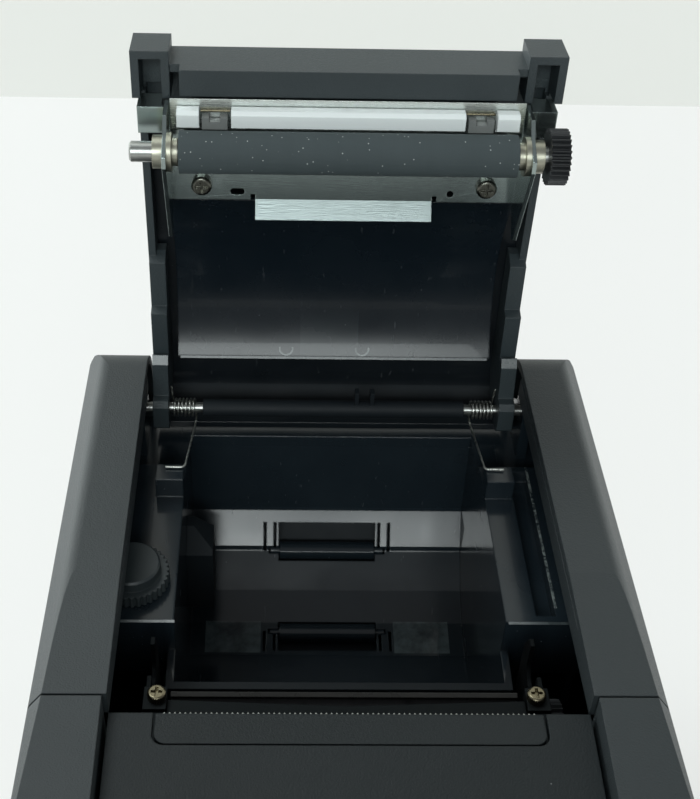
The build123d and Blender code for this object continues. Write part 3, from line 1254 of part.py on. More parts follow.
def socket_body(x, width, height):
    """Outer block of a socket that stands on the board and ends just behind the rear face."""
    return block(
        x - width / 2, x + width / 2, SOCKET_FACE - SOCKET_DEPTH, SOCKET_FACE, BOARD_TOP, BOARD_TOP + height
    )


def usb_socket():
    """Square data socket with its tongue set back."""
    body = socket_body(USB_X, USB_WIDTH, USB_HEIGHT)
    z = BOARD_TOP + USB_HEIGHT / 2
    body -= block(USB_X - 4.2, USB_X + 4.2, SOCKET_FACE - 12, SOCKET_FACE + 1, z - 3.9, z + 3.9)
    return body + block(
        USB_X - 2.8, USB_X + 2.8, SOCKET_FACE - 13, SOCKET_FACE - MOUTH_DEPTH, z - 1.6, z + 1.6
    )


def drawer_socket():
    """Modular jack for a cash drawer's lead."""
    body = socket_body(JACK_X, JACK_WIDTH, JACK_HEIGHT)
    base = BOARD_TOP
    body -= block(JACK_X - 4.9, JACK_X + 4.9, SOCKET_FACE - 12, SOCKET_FACE + 1, base + 3.4, base + 10.2)
    return body - block(JACK_X - 1.7, JACK_X + 1.7, SOCKET_FACE - 8, SOCKET_FACE + 1, base + 1.4, base + 4)


def power_socket():
    """Round low-voltage inlet with three contact pins."""
    body = socket_body(POWER_X, POWER_SIZE, POWER_SIZE)
    z = BOARD_TOP + POWER_SIZE / 2
    body -= rod_y(POWER_SIZE / 2 - 2, SOCKET_FACE - 11, SOCKET_FACE + 1, POWER_X, z)
    for number in range(3):
        angle = pi / 2 + number * 2 * pi / 3
        x = POWER_X + 2.6 * cos(angle)
        body += rod_y(0.6, SOCKET_FACE - 12, SOCKET_FACE - MOUTH_DEPTH, x, z + 2.6 * sin(angle))
    return body


def switch_frame():
    """Open frame round the power rocker."""
    frame = socket_body(SWITCH_X, SWITCH_WIDTH, SWITCH_HEIGHT)
    z = SWITCH_Z
    room_x = SWITCH_WIDTH / 2 - 1.4
    room_z = SWITCH_HEIGHT / 2 - 1.2
    frame -= block(
        SWITCH_X - room_x, SWITCH_X + room_x, SOCKET_FACE - 9, SOCKET_FACE + 1, z - room_z, z + room_z
    )
    return frame


def power_rocker():
    """Rocker with two sloping faces, tipped to one side."""
    half = SWITCH_WIDTH / 2 - 1.4 - RUN_GAP
    tall = SWITCH_HEIGHT / 2 - 2.2
    face = SOCKET_FACE - 0.5
    profile = [
        (face - 5, SWITCH_Z - tall), (face, SWITCH_Z - tall), (face - 0.7, SWITCH_Z),
        (face, SWITCH_Z + tall), (face - 5, SWITCH_Z + tall),
    ]
    rocker = side_solid(profile, SWITCH_X - half, SWITCH_X + half)
    return rocker.rotate(Axis((0, face - 4, SWITCH_Z), (1, 0, 0)), -SWITCH_TILT / 2)


def crown_face(inset):
    """Side view of the closed lid under its crowned skin, down to the tail and the lip."""
    tip = closed_points([(LID_LENGTH - inset, LID_TIP_RISE - inset)])[0]
    crown = closed_points([(LID_LENGTH / 2, LID_CROWN_RISE - inset)])[0]
    rear = closed_points([(2.0, LID_REAR_RISE - inset)])[0]
    bend = closed_points([(-LID_TAIL + 2.8 + 0.7 * inset, LID_REAR_RISE - 4.0 - 0.7 * inset)])[0]
    tail = closed_points([(-LID_TAIL + inset, TAIL_RISE)])[0]
    low = LID_EDGE_RISE - 30 if inset else TAIL_RISE
    edges = Curve() + [
        ThreePointArc(tip, crown, rear),
        ThreePointArc(rear, bend, tail),
    ]
    if inset:
        floor = closed_points([(-LID_TAIL + inset, low), (LID_LENGTH - inset, low)])
    else:
        slope = tan(radians(LID_EDGE_SLOPE))
        front_edge = LID_EDGE_RISE - (LID_LENGTH - LIP_THICKNESS) * slope
        floor = closed_points([
            (-LID_TAIL + LID_SKIN, TAIL_RISE), (-4.0, 11.0), (20.0, LID_EDGE_RISE - 20 * slope),
            (LID_LENGTH - LIP_THICKNESS, front_edge),
            (LID_LENGTH - LIP_THICKNESS, EAR_RISE), (LID_LENGTH, EAR_RISE),
        ])
    edges += Polyline(tail, *floor, tip)
    return Plane.YZ * make_face(edges)


def lid_cover():
    """Paper lid: crowned skin, side walls, lip, two hooded ears and the hinge arms."""
    inner_half = LID_HALF - LID_SIDE_WALL
    cover = Pos(-LID_HALF, 0, 0) * extrude(crown_face(0), 2 * LID_HALF)
    cover -= Pos(-inner_half, 0, 0) * extrude(crown_face(LID_SKIN), 2 * inner_half)
    lip = [
        (LID_LENGTH, -LIP_DROP), (LID_LENGTH, EAR_RISE + 1), (LID_LENGTH - LID_SKIN, EAR_RISE + 1),
        (LID_LENGTH - LID_SKIN, LID_SKIN - LIP_DROP), (LID_LENGTH - LIP_THICKNESS, LID_SKIN - LIP_DROP),
        (LID_LENGTH - LIP_THICKNESS, -LIP_DROP),
    ]
    ear_in = LID_HALF + EAR_OVERHANG - EAR_WIDTH
    cover += lid_solid(lip, -ear_in - 0.5, ear_in + 0.5)
    notch_half = LIP_NOTCH_WIDTH / 2
    notch = lid_block(
        CUTTER_SCREW_X - notch_half, LID_HALF, LID_LENGTH - LIP_THICKNESS - 1, LID_LENGTH + 1,
        -LIP_DROP - 1, LIP_NOTCH_RISE - LIP_DROP,
    )
    cover -= both_sides(notch)
    tip_reach = LID_LENGTH + EAR_LENGTH
    hood_rear = LID_LENGTH - LIP_THICKNESS - 2
    hood_top = LID_TIP_RISE - 0.3
    hood = lid_block(ear_in, LID_HALF + EAR_OVERHANG, hood_rear, tip_reach, EAR_RISE, hood_top)
    room = lid_block(
        ear_in + EAR_WALL, LID_HALF + EAR_OVERHANG - EAR_WALL, hood_rear - 1, tip_reach - EAR_WALL,
        EAR_RISE - 1, hood_top - EAR_WALL,
    )
    cover += both_sides(hood)
    cover -= both_sides(room)
    arm = lid_solid(arm_outline(), ARM_IN, ARM_IN + ARM_WIDTH)
    cover += both_sides(arm)
    low = HINGE_Z + PLATE_RISE + SHEET
    for reach, rise in (
        (PLATE_SCREW_REACH, LID_REAR_RISE - LID_SKIN / 2),
        (PLATE_UPPER_REACH - BOSS_DIAMETER, LID_TIP_RISE + LID_SKIN / 2),
    ):
        cover += both_sides(rod_z(BOSS_DIAMETER / 2, low, HINGE_Z + rise, *lid_place(PLATE_SCREW_X, reach)))
    screw_hole = rod_z(
        SCREW_SHANK / 2, HINGE_Z, HINGE_Z + PLATE_RISE + SCREW_LENGTH,
        *lid_place(PLATE_SCREW_X, PLATE_SCREW_REACH)
    )
    cover -= both_sides(screw_hole)
    return cover - rod_x(
        HINGE_SHAFT_DIAMETER / 2 + HINGE_FIT, -LID_HALF - 1, LID_HALF + 1, HINGE_Y, HINGE_Z
    )


def arm_outline():
    """Side view of a hinge arm: square hub, stepped neck and the root under the skin."""
    hub = HUB_SIZE / 2
    under_skin = LID_REAR_RISE - LID_SKIN / 2
    return [
        (-hub, -hub + 1.5), (-hub + 1.5, -hub), (hub - 1.5, -hub), (hub, -hub + 1.5), (hub, -1.0),
        (ARM_NECK_REACH, 0.5), (ARM_NECK_REACH + 0.8, ARM_NECK_RISE), (ARM_ROOT_REACH, ARM_NECK_RISE + 0.6),
        (ARM_ROOT_REACH + 0.8, ARM_STEP_RISE), (ARM_STEP_REACH, ARM_STEP_RISE + 0.5),
        (ARM_STEP_REACH + 2, LID_EDGE_RISE), (ARM_STEP_REACH + 2, under_skin), (4.0, under_skin),
        (-hub + 1, 9.0), (-hub, hub),
    ]


def lid_inner_guide():
    """Concave guide over the paper roll, with flanges up to the skin."""
    radius = ROLL_DIAMETER / 2 + GUIDE_CLEARANCE
    half = ARM_IN - 2 * GUIDE_THICKNESS
    span = block(
        -half, half, HINGE_Y - GUIDE_FRONT_REACH, HINGE_Y - GUIDE_REAR_REACH, ROLL_Z, SHOULDER_HEIGHT + 10
    )
    roll = rod_x(radius, -half - 1, half + 1, ROLL_Y, ROLL_Z)
    shell = rod_x(radius + GUIDE_THICKNESS, -half, half, ROLL_Y, ROLL_Z)
    under = Pos(-half, 0, 0) * extrude(crown_face(LID_SKIN + RUN_GAP), 2 * half)
    flanges = both_sides(block(half - GUIDE_THICKNESS, half, FRONT, REAR, 0, SHOULDER_HEIGHT + 20))
    return ((shell + flanges) & span & under) - roll


def platen_bracket():
    """Folded steel bracket: back plate, tapering side flanges, outer tabs and the bent paper tab."""
    low = PLATE_RISE
    high = PLATE_RISE + SHEET
    plate = lid_block(
        -FLANGE_INSIDE - SHEET, FLANGE_INSIDE + SHEET, PLATE_LOWER_REACH, PLATE_UPPER_REACH, low, high
    )
    flange = [
        (PLATE_UPPER_REACH, high), (PLATE_UPPER_REACH, -7.0), (PLATEN_REACH + 4.5, -10.0),
        (PLATEN_REACH + 1.5, -FLANGE_FRONT_DROP), (PLATEN_REACH - 1.5, -FLANGE_FRONT_DROP),
        (FLANGE_TIP_REACH, -5.4), (FLANGE_TIP_REACH - 0.6, -4.0), (PLATE_LOWER_REACH - 2, high),
    ]
    sides = lid_solid(flange, FLANGE_INSIDE, FLANGE_INSIDE + SHEET)
    outer = LID_HALF - OUTER_TAB_INSET
    tab_low = OUTER_TAB_REACH - OUTER_TAB_HEIGHT
    sides += lid_block(FLANGE_INSIDE, outer, tab_low, OUTER_TAB_REACH, low, high)
    sides += lid_block(
        FLANGE_INSIDE + OUTER_TAB_GAP, outer, OUTER_TAB_REACH - SHEET, OUTER_TAB_REACH,
        low, low + OUTER_TAB_DEPTH
    )
    bracket = plate + both_sides(sides)
    half = TAB_WIDTH / 2
    for side in (-1, 1):
        bracket -= lid_block(
            side * half, side * (half + TAB_NOTCH), PLATE_LOWER_REACH - 1, PLATE_LOWER_REACH + 1.6,
            low - 1, high + 1
        )
    bracket += lid_block(
        -half, half, PLATE_LOWER_REACH - SHEET, PLATE_LOWER_REACH + 0.2, high - TAB_LENGTH, high
    )
    place = lid_place(-HOLE_X, PLATE_HOLE_REACH)
    bracket -= Pos(*place, 0) * Pos(0, 0, HINGE_Z - 1) * extrude(SlotOverall(3.6, 1.8), 4)
    bracket -= rod_z(0.9, HINGE_Z - 1, HINGE_Z + 3, *lid_place(HOLE_X, PLATE_HOLE_REACH))
    screw_hole = rod_z(
        SCREW_SHANK / 2, HINGE_Z - 1, HINGE_Z + 3, *lid_place(PLATE_SCREW_X, PLATE_SCREW_REACH)
    )
    bracket -= both_sides(screw_hole)
    bore = BUSHING_DIAMETER / 2
    return bracket - both_sides(
        rod_x(bore, FLANGE_INSIDE - 1, FLANGE_INSIDE + 2 * SHEET, PLATEN_Y, PLATEN_Z)
    )


def lid_place(x, reach):
    """Plan position of a point of the closed lid."""
    return x, HINGE_Y - reach


def bracket_screws():
    """Pan-head screws through the bracket's plate into the lid's bosses."""
    x, y = lid_place(PLATE_SCREW_X, PLATE_SCREW_REACH)
    seat = HINGE_Z + PLATE_RISE
    head = rod_z(PLATE_SCREW_HEAD / 2, seat - 1.8, seat, x, y)
    head = fillet(head.edges().group_by(Axis.Z)[0], 0.8)
    for along, across in ((1.6, 0.35), (0.35, 1.6)):
        head -= block(x - along, x + along, y - across, y + across, seat - 3, seat - 1)
    shank = rod_z(SCREW_SHANK / 2, seat, seat + SCREW_LENGTH, x, y)
    return both_sides(head + shank)


def platen_bushings():
    """Stepped bushings: spacer, rim against the flange, and the round that rests in the frame's slot."""
    bushing = rod_x(BUSHING_SPACER / 2, PLATEN_HALF + RUN_GAP, FLANGE_INSIDE, PLATEN_Y, PLATEN_Z)
    bushing += rod_x(BUSHING_FLANGE / 2, FLANGE_INSIDE - BUSHING_RIM, FLANGE_INSIDE, PLATEN_Y, PLATEN_Z)
    bushing += rod_x(
        BUSHING_DIAMETER / 2, FLANGE_INSIDE, FLANGE_INSIDE + BUSHING_LENGTH, PLATEN_Y, PLATEN_Z
    )
    bore = PLATEN_SHAFT_DIAMETER / 2 + HINGE_FIT
    return both_sides(bushing - rod_x(bore, 0, LID_HALF, PLATEN_Y, PLATEN_Z))


def platen_shaft():
    """Steel shaft with turned ends."""
    end = OPENING_HALF - SHAFT_END_GAP
    shaft = rod_x(PLATEN_SHAFT_DIAMETER / 2, -end, end, PLATEN_Y, PLATEN_Z)
    return chamfer(shaft.edges().filter_by(GeomType.CIRCLE), 0.4)


def platen_rubber():
    """Rubber sleeve that feeds the paper."""
    sleeve = rod_x(PLATEN_DIAMETER / 2, -PLATEN_HALF, PLATEN_HALF, PLATEN_Y, PLATEN_Z)
    return sleeve - rod_x(PLATEN_SHAFT_DIAMETER / 2, -PLATEN_HALF - 1, PLATEN_HALF + 1, PLATEN_Y, PLATEN_Z)


def platen_gear():
    """Drive gear on the right end of the shaft."""
    return gear(
        PLATEN_TEETH, GEAR_WIDTH, GEAR_INSIDE, PLATEN_Y, PLATEN_Z, PLATEN_SHAFT_DIAMETER, gear_turns()[0]
    )


def fixed_blade():
    """Counter blade behind the white guides, its ground edge in front."""
    low = FIXED_BLADE_RISE
    high = FIXED_BLADE_RISE + BLADE_THICKNESS
    back = FIXED_BLADE_REACH - FIXED_BLADE_DEPTH
    profile = [
        (back, low), (back, high), (FIXED_BLADE_REACH - 0.7, high), (FIXED_BLADE_REACH, low + 0.3),
        (FIXED_BLADE_REACH, low),
    ]
    return lid_solid(profile, -BLADE_LENGTH / 2, BLADE_LENGTH / 2)


def guide_profile(x0, x1):
    """White guide with a thin lower lip, lying in front of the fixed blade."""
    low = FIXED_BLADE_RISE - RUN_GAP
    front = low - GUIDE_BAR_THICKNESS
    bottom = GUIDE_BAR_REACH - GUIDE_BAR_HEIGHT
    points = [
        (GUIDE_BAR_REACH, low), (GUIDE_BAR_REACH, front + 1.0),
        (GUIDE_BAR_REACH - 0.8, front), (bottom, front),
        (bottom, front + 2.0), (bottom - 1.0, front + 2.0), (bottom - 1.0, low),
    ]
    return lid_solid(points, x0, x1)


def blade_guides():
    """Long white guide in the middle and a short one at each end."""
    half = GUIDE_BAR_LENGTH / 2
    short = GUIDE_BLOCK_LENGTH / 2
    guides = guide_profile(-half, half)
    return guides + both_sides(guide_profile(GUIDE_BLOCK_CENTRE - short, GUIDE_BLOCK_CENTRE + short))


def blade_clips():
    """Small clips with raised ends between the white guides."""
    low = FIXED_BLADE_RISE - RUN_GAP
    bottom = GUIDE_BAR_REACH - GUIDE_BAR_HEIGHT - 1.0
    half = CLIP_LENGTH / 2
    base = lid_block(CLIP_CENTRE - half, CLIP_CENTRE + half, bottom, bottom + 2.0, low - 2.4, low)
    for side in (-1, 1):
        x = CLIP_CENTRE + side * (half - 0.9)
        base += lid_block(x - 0.9, x + 0.9, bottom + 1, bottom + 3.2, low - 2.4, low)
    return both_sides(base)


def blade_spring_wires():
    """Wire ends of the paper guide's springs, between the long guide and the short ones."""
    start = GUIDE_BAR_LENGTH / 2 + RUN_GAP
    end = GUIDE_BLOCK_CENTRE - GUIDE_BLOCK_LENGTH / 2 - RUN_GAP
    place = closed_points([(GUIDE_BAR_REACH - 1.0, FIXED_BLADE_RISE - RUN_GAP - SPRING_WIRE / 2)])[0]
    return both_sides(rod_x(SPRING_WIRE / 2, start, end, *place))


FIXED_PIECES = {
    "bottom_case": bottom_case(),
    "rubber_feet": rubber_feet(),
    "case_screws": case_screws(),
    "main_housing": main_housing(),
    "front_wing_right": front_wing(),
    "front_wing_left": mirror(front_wing(), about=Plane.YZ),
    "front_fascia": front_fascia(),
    "status_lenses": status_lenses(),
    "panel_board": panel_board(),
    "feed_button": feed_button(),
    "cutter_cover": cutter_cover(),
    "tear_bar_holder": tear_bar_holder(),
    "tear_bar": tear_bar(),
    "paper_bucket": paper_bucket(),
    "bucket_roller_rear": bucket_roller(REAR_ROLLER_ANGLE),
    "bucket_roller_front": bucket_roller(FRONT_ROLLER_ANGLE),
    "near_end_sensor": near_end_sensor(),
    "near_end_dial": near_end_dial(),
    "hinge_shaft": hinge_shaft(),
    "shaft_sleeve": shaft_sleeve(),
    "hinge_spring_right": hinge_spring(),
    "hinge_spring_left": mirror(hinge_spring(), about=Plane.YZ),
    "mechanism_frame": mechanism_frame(),
    "print_head_ceramic": print_head_ceramic(),
    "print_head_heatsink": print_head_heatsink(),
    "head_pivot": head_pivot(),
    "head_springs": head_springs(),
    "idler_gear": idler(0),
    "reducer_gear": idler(1),
    "motor_pinion": motor_pinion(),
    "feed_motor": feed_motor(),
    "cutter_base": cutter_base(),
    "cutter_lid": cutter_lid(),
    "cutter_screws": cutter_screws(),
    "moving_blade": moving_blade(),
    "cutter_crank": cutter_crank(),
    "cutter_gearbox": cutter_gearbox(),
    "cutter_motor": cutter_motor(),
    "main_board": main_board(),
    "rear_plate": rear_plate(),
    "usb_socket": usb_socket(),
    "drawer_socket": drawer_socket(),
    "power_socket": power_socket(),
    "switch_frame": switch_frame(),
    "power_rocker": power_rocker(),
}
LID_PIECES = {
    "lid_cover": lid_cover(),
    "lid_inner_guide": lid_inner_guide(),
    "platen_bracket": platen_bracket(),
    "bracket_screws": bracket_screws(),
    "platen_bushings": platen_bushings(),
    "platen_shaft": platen_shaft(),
    "platen_rubber": platen_rubber(),
    "platen_gear": platen_gear(),
    "fixed_blade": fixed_blade(),
    "blade_guides": blade_guides(),
    "blade_clips": blade_clips(),
    "blade_spring_wires": blade_spring_wires(),
}

pieces = dict(FIXED_PIECES)
for name, shape in LID_PIECES.items():
    pieces[name] = swung_open(shape)
rearmost = max(shape.bounding_box().max.Y for shape in pieces.values())
shift = -(rearmost + FRONT) / 2
print("everything is moved along Y by", round(shift, 4), "mm")
os.makedirs("parts", exist_ok=True)
for name, shape in pieces.items():
    export_step(Pos(0, shift, 0) * shape, f"parts/{name}.step")
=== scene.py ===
from math import cos, pi, radians, sin

import bmesh
import bpy
from mathutils import Matrix, Vector


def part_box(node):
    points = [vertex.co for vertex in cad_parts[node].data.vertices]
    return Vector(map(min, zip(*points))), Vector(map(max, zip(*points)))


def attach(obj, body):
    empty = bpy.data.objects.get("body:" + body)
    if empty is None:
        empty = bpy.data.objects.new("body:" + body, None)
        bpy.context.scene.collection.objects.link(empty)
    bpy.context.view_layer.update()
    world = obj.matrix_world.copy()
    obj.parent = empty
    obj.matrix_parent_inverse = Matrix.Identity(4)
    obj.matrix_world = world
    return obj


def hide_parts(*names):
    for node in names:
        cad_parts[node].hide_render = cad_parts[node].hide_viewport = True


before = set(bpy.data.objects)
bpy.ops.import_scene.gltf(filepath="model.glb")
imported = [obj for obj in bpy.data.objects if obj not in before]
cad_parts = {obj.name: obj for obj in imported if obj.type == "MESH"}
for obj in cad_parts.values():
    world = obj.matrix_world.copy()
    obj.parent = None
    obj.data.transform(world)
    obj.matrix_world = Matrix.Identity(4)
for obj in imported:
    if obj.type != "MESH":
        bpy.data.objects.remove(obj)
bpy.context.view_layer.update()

LID_LOW, LID_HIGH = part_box("lid_cover")
GUIDE_LOW, GUIDE_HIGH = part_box("lid_inner_guide")
BUCKET_LOW, BUCKET_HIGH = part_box("paper_bucket")
ROLLER_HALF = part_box("bucket_roller_front")[1].x


# Shader building

class Value:
    """A socket of a material's node tree that can stand in a sum or a product."""

    def __init__(self, maker, socket):
        self.maker, self.socket = maker, socket

    def math(self, operation, other, swap=False):
        first, second = (other, self) if swap else (self, other)
        return self.maker.node("ShaderNodeMath", {"operation": operation}, {0: first, 1: second})[0]

    def __add__(self, other):
        return self.math("ADD", other)

    def __radd__(self, other):
        return self.math("ADD", other, True)

    def __sub__(self, other):
        return self.math("SUBTRACT", other)

    def __rsub__(self, other):
        return self.math("SUBTRACT", other, True)

    def __mul__(self, other):
        return self.math("MULTIPLY", other)

    def __rmul__(self, other):
        return self.math("MULTIPLY", other, True)

    def __abs__(self):
        return self.maker.node("ShaderNodeMath", {"operation": "ABSOLUTE"}, {0: self})[0]

    def over(self, threshold):
        """1 above the threshold, 0 below it."""
        return self.math("GREATER_THAN", threshold)

    def under(self, threshold):
        """1 below the threshold, 0 above it."""
        return 1 - self.over(threshold)

    def within(self, low, high):
        """1 from low to high, 0 outside."""
        return self.over(low) * self.under(high)

    def rise(self, low, high):
        """0 below low, 1 above high, smooth in the middle."""
        return self.maker.node(
            "ShaderNodeMapRange", {"interpolation_type": "SMOOTHSTEP", "clamp": True},
            {"Value": self, "From Min": low, "From Max": high},
        )[0]


class Outputs:
    """The outputs of a node, by name or number."""

    def __init__(self, maker, node):
        self.maker, self.made = maker, node

    def __getitem__(self, key):
        return Value(self.maker, self.made.outputs[key])


class Maker:
    """Builds one material from nodes that read Object coordinates."""

    def __init__(self, name):
        self.material = bpy.data.materials.new(name)
        self.material.use_nodes = True
        self.tree = self.material.node_tree
        self.shader = self.tree.nodes["Principled BSDF"]
        self.place = self.node("ShaderNodeTexCoord", {}, {})["Object"]

    def node(self, kind, settings, inputs):
        """Adds a node, sets its settings first and then its sockets, and gives its outputs."""
        made = self.tree.nodes.new(kind)
        for key, value in settings.items():
            setattr(made, key, value)
        for key, value in inputs.items():
            self.feed(made.inputs[key], value)
        return Outputs(self, made)

    def feed(self, socket, value):
        if isinstance(value, Value):
            self.tree.links.new(value.socket, socket)
        elif socket.type == "RGBA":
            socket.default_value = (*value, 1.0)
        else:
            socket.default_value = value

    def axes(self):
        """Where a point of the piece is: across, along and up, in metres."""
        split = self.node("ShaderNodeSeparateXYZ", {}, {0: self.place})
        return split[0], split[1], split[2]

    def noise(self, size, detail=2.0, rough=0.5, stretch=None):
        """Noise whose features are about size metres across."""
        place = self.place
        if stretch:
            place = self.node("ShaderNodeMapping", {}, {"Vector": place, "Scale": stretch})["Vector"]
        return self.node(
            "ShaderNodeTexNoise", {},
            {"Vector": place, "Scale": 1 / size, "Detail": detail, "Roughness": rough},
        )[0]

    def specks(self, spacing, share, size):
        """Small round spots in a share of the cells, size as a share of the spacing."""
        cells = self.node("ShaderNodeTexVoronoi", {}, {"Vector": self.place, "Scale": 1 / spacing})
        near = 1 - cells["Distance"].rise(size / 2, size)
        lucky = self.node("ShaderNodeSeparateColor", {}, {"Color": cells["Color"]})[0]
        return near * lucky.over(1 - share)

    def mix(self, share, low, high):
        """A colour between low and high."""
        return self.node("ShaderNodeMix", {"data_type": "RGBA"}, {0: share, 6: low, 7: high})[2]

    def bump(self, height, strength, distance, softening=0.0):
        """A normal from a height; softening rounds the look of sharp edges, in metres."""
        inputs = {"Height": height, "Strength": strength, "Distance": distance}
        if softening:
            inputs["Normal"] = self.node("ShaderNodeBevel", {"samples": 4}, {"Radius": softening})[0]
        return self.node("ShaderNodeBump", {}, inputs)[0]

    def set(self, **sockets):
        for name, value in sockets.items():
            self.feed(self.shader.inputs[name.replace("_", " ")], value)
        return self.material


# Marks, painted reflections and painted highlights, and colours of use, in metres

NOISE_MIDDLE = 0.5
REAR_FLAT_LOW = 0.0733
REAR_FLAT_HIGH = 0.0845
REAR_FLAT_FRONT = 0.0735
REAR_FLAT_LEAN = 0.235
TROUGH_REFLECTION_ACROSS = (ROLLER_HALF + 0.0028, ROLLER_HALF + 0.0198)
TROUGH_REFLECTION_ALONG = (0.0468, 0.0572)
TROUGH_REFLECTION_TOP = 0.0610
SCRATCHED_GLINT_ACROSS = (0.0550, 0.0557)
SCRATCHED_GLINT_ALONG = (0.0150, 0.0680)
SCRATCHED_GLINT_LOW = 0.1165
RING_RISE = 0.00224
RING_PLACES = [(x, 0.0893, GUIDE_LOW.z + RING_RISE) for x in (-0.0138, 0.0080)]
RING_RADII = (0.0016, 0.0021)
RING_TOP = GUIDE_LOW.z + RING_RISE + 0.0004
GUIDE_REFLECTION_ACROSS = (-0.0098, 0.0068)
GUIDE_REFLECTION_FADE = (GUIDE_LOW.z + 0.00424, GUIDE_LOW.z + 0.01424)
GUIDE_REFLECTION_SHARE = 0.6
SCUFF_COLOUR = (0.30, 0.31, 0.31)
DUST_COLOUR = (0.22, 0.24, 0.26)
PAPER_DUST_COLOUR = (0.55, 0.57, 0.55)
TROUGH_REFLECTION_COLOUR = (0.110, 0.140, 0.145)
SCRATCHED_GLINT_COLOUR = (0.24, 0.27, 0.26)
RING_COLOUR = (0.16, 0.18, 0.18)
GUIDE_REFLECTION_COLOUR = (0.030, 0.038, 0.042)


def rear_flat_lean(m):
    """Leans the trough's rear flat back by a few degrees, so that it catches the light in front."""
    _, along, up = m.axes()
    climb = m.node(
        "ShaderNodeMapRange", {"clamp": True},
        {"Value": up, "From Min": REAR_FLAT_LOW, "From Max": REAR_FLAT_HIGH, "To Min": 0, "To Max": 1},
    )[0]
    fall = REAR_FLAT_LEAN * (REAR_FLAT_HIGH - REAR_FLAT_LOW)
    return climb * -fall * along.over(REAR_FLAT_FRONT)


def bucket_reflections_and_scratches(m):
    """Painted reflections on the trough floor beside the front roller, and a thin line of scratches with a
    painted highlight along the right block.
    """
    across, along, up = m.axes()
    # painted reflection: paler bluish patches on the trough floor, broken up by noise
    reflection_patch = abs(across).within(*TROUGH_REFLECTION_ACROSS) * along.within(*TROUGH_REFLECTION_ALONG) * up.under(TROUGH_REFLECTION_TOP)
    reflection_patch = reflection_patch * m.noise(0.008, detail=4.0, rough=0.6).rise(0.25, 0.7)
    # scratches and a painted highlight: a thin paler line on the right block, broken up by fine noise
    scratched_glint = across.within(*SCRATCHED_GLINT_ACROSS) * along.within(*SCRATCHED_GLINT_ALONG) * up.over(SCRATCHED_GLINT_LOW)
    scratched_glint = scratched_glint * m.noise(0.0012, detail=4.0, rough=0.8).rise(0.42, 0.6)
    return (reflection_patch, TROUGH_REFLECTION_COLOUR), (scratched_glint, SCRATCHED_GLINT_COLOUR)


def guide_marks_and_reflection(m):
    """Two round moulding marks, and a paler painted reflection across the middle of the lid guide's foot
    that fades upwards.
    """
    across, _, up = m.axes()
    rings = 0
    for middle in RING_PLACES:
        away = m.node("ShaderNodeVectorMath", {"operation": "DISTANCE"}, {0: m.place, 1: middle})["Value"]
        rings = rings + away.within(*RING_RADII) * up.under(RING_TOP)
    # painted reflection: paler across the middle of the guide's foot, fading upwards
    reflection_pad = across.within(*GUIDE_REFLECTION_ACROSS) * (1 - up.rise(*GUIDE_REFLECTION_FADE))
    return (rings, RING_COLOUR), (reflection_pad * GUIDE_REFLECTION_SHARE, GUIDE_REFLECTION_COLOUR)


# Kinds of finish

def textured_plastic(name, dark, light, rough=0.5, shine=0.5):
    """Spark-eroded charcoal plastic: fine grain, faint clouding, a few pale scuffs."""
    m = Maker(name)
    grain = m.noise(0.00045, detail=3.0, rough=0.6)
    cloud = m.noise(0.03, detail=3.0)
    scuffs = m.noise(0.006, detail=6.0, rough=0.7, stretch=(1.0, 0.12, 1.0)).rise(0.66, 0.78)
    dust = m.specks(spacing=0.006, share=0.12, size=0.035)
    colour = m.mix(cloud * 0.6 + grain * 0.4, dark, light)
    return m.set(
        Base_Color=m.mix(scuffs * 0.12 + dust * 0.5, colour, SCUFF_COLOUR),
        Roughness=rough + (grain - NOISE_MIDDLE) * 0.25 - scuffs * 0.08 + dust * 0.3,
        Specular_IOR_Level=shine,
        Normal=m.bump(grain, strength=0.35, distance=0.0004, softening=0.0004),
    )


def glossy_plastic(name, dark, light, rough=0.19, shine=0.5, lean=None, marks=None):
    """Polished near-black plastic with smears, fine scratches and settled dust."""
    m = Maker(name)
    smear = m.noise(0.018, detail=4.0, rough=0.6)
    scratch = m.noise(0.0011, stretch=(1.0, 0.05, 0.3)).rise(0.7, 0.76)
    dust = m.specks(spacing=0.0035, share=0.16, size=0.05)
    colour = m.mix(smear, dark, light)
    colour = m.mix(dust * 0.5 + scratch * 0.08, colour, DUST_COLOUR)
    # marks may add painted reflections and painted highlights as well as real marks
    if marks:
        for share, tint in marks(m):
            colour = m.mix(share, colour, tint)
    height = (m.noise(0.035, detail=1.0) + scratch * 0.004) * 0.0004
    if lean:
        height = height + lean(m)
    return m.set(
        Base_Color=colour,
        Roughness=rough + (smear - NOISE_MIDDLE) * 0.16 + dust * 0.5 + scratch * 0.12,
        Specular_IOR_Level=shine,
        Coat_Weight=smear * 0.25,
        Normal=m.bump(height, strength=1.0, distance=1.0, softening=0.0006),
    )


def plain_plastic(name, dark, light, rough, shine=0.5):
    """Moulded plastic with slight clouding."""
    m = Maker(name)
    cloud = m.noise(0.008, detail=3.0)
    return m.set(
        Base_Color=m.mix(cloud, dark, light),
        Roughness=rough + (cloud - NOISE_MIDDLE) * 0.2,
        Specular_IOR_Level=shine,
        Normal=m.bump(m.noise(0.0006), strength=0.12, distance=0.0002, softening=0.0003),
    )


def painted_edge_highlight(name, dark, light):
    """Rounded plastic edge, polished, and paler than the plastic round it as a painted highlight."""
    m = Maker(name)
    wear = m.noise(0.004, detail=4.0, rough=0.6)
    return m.set(
        Base_Color=m.mix(wear, dark, light),
        Roughness=0.2 + wear * 0.15,
        Normal=m.bump(wear, strength=0.2, distance=0.0001),
    )


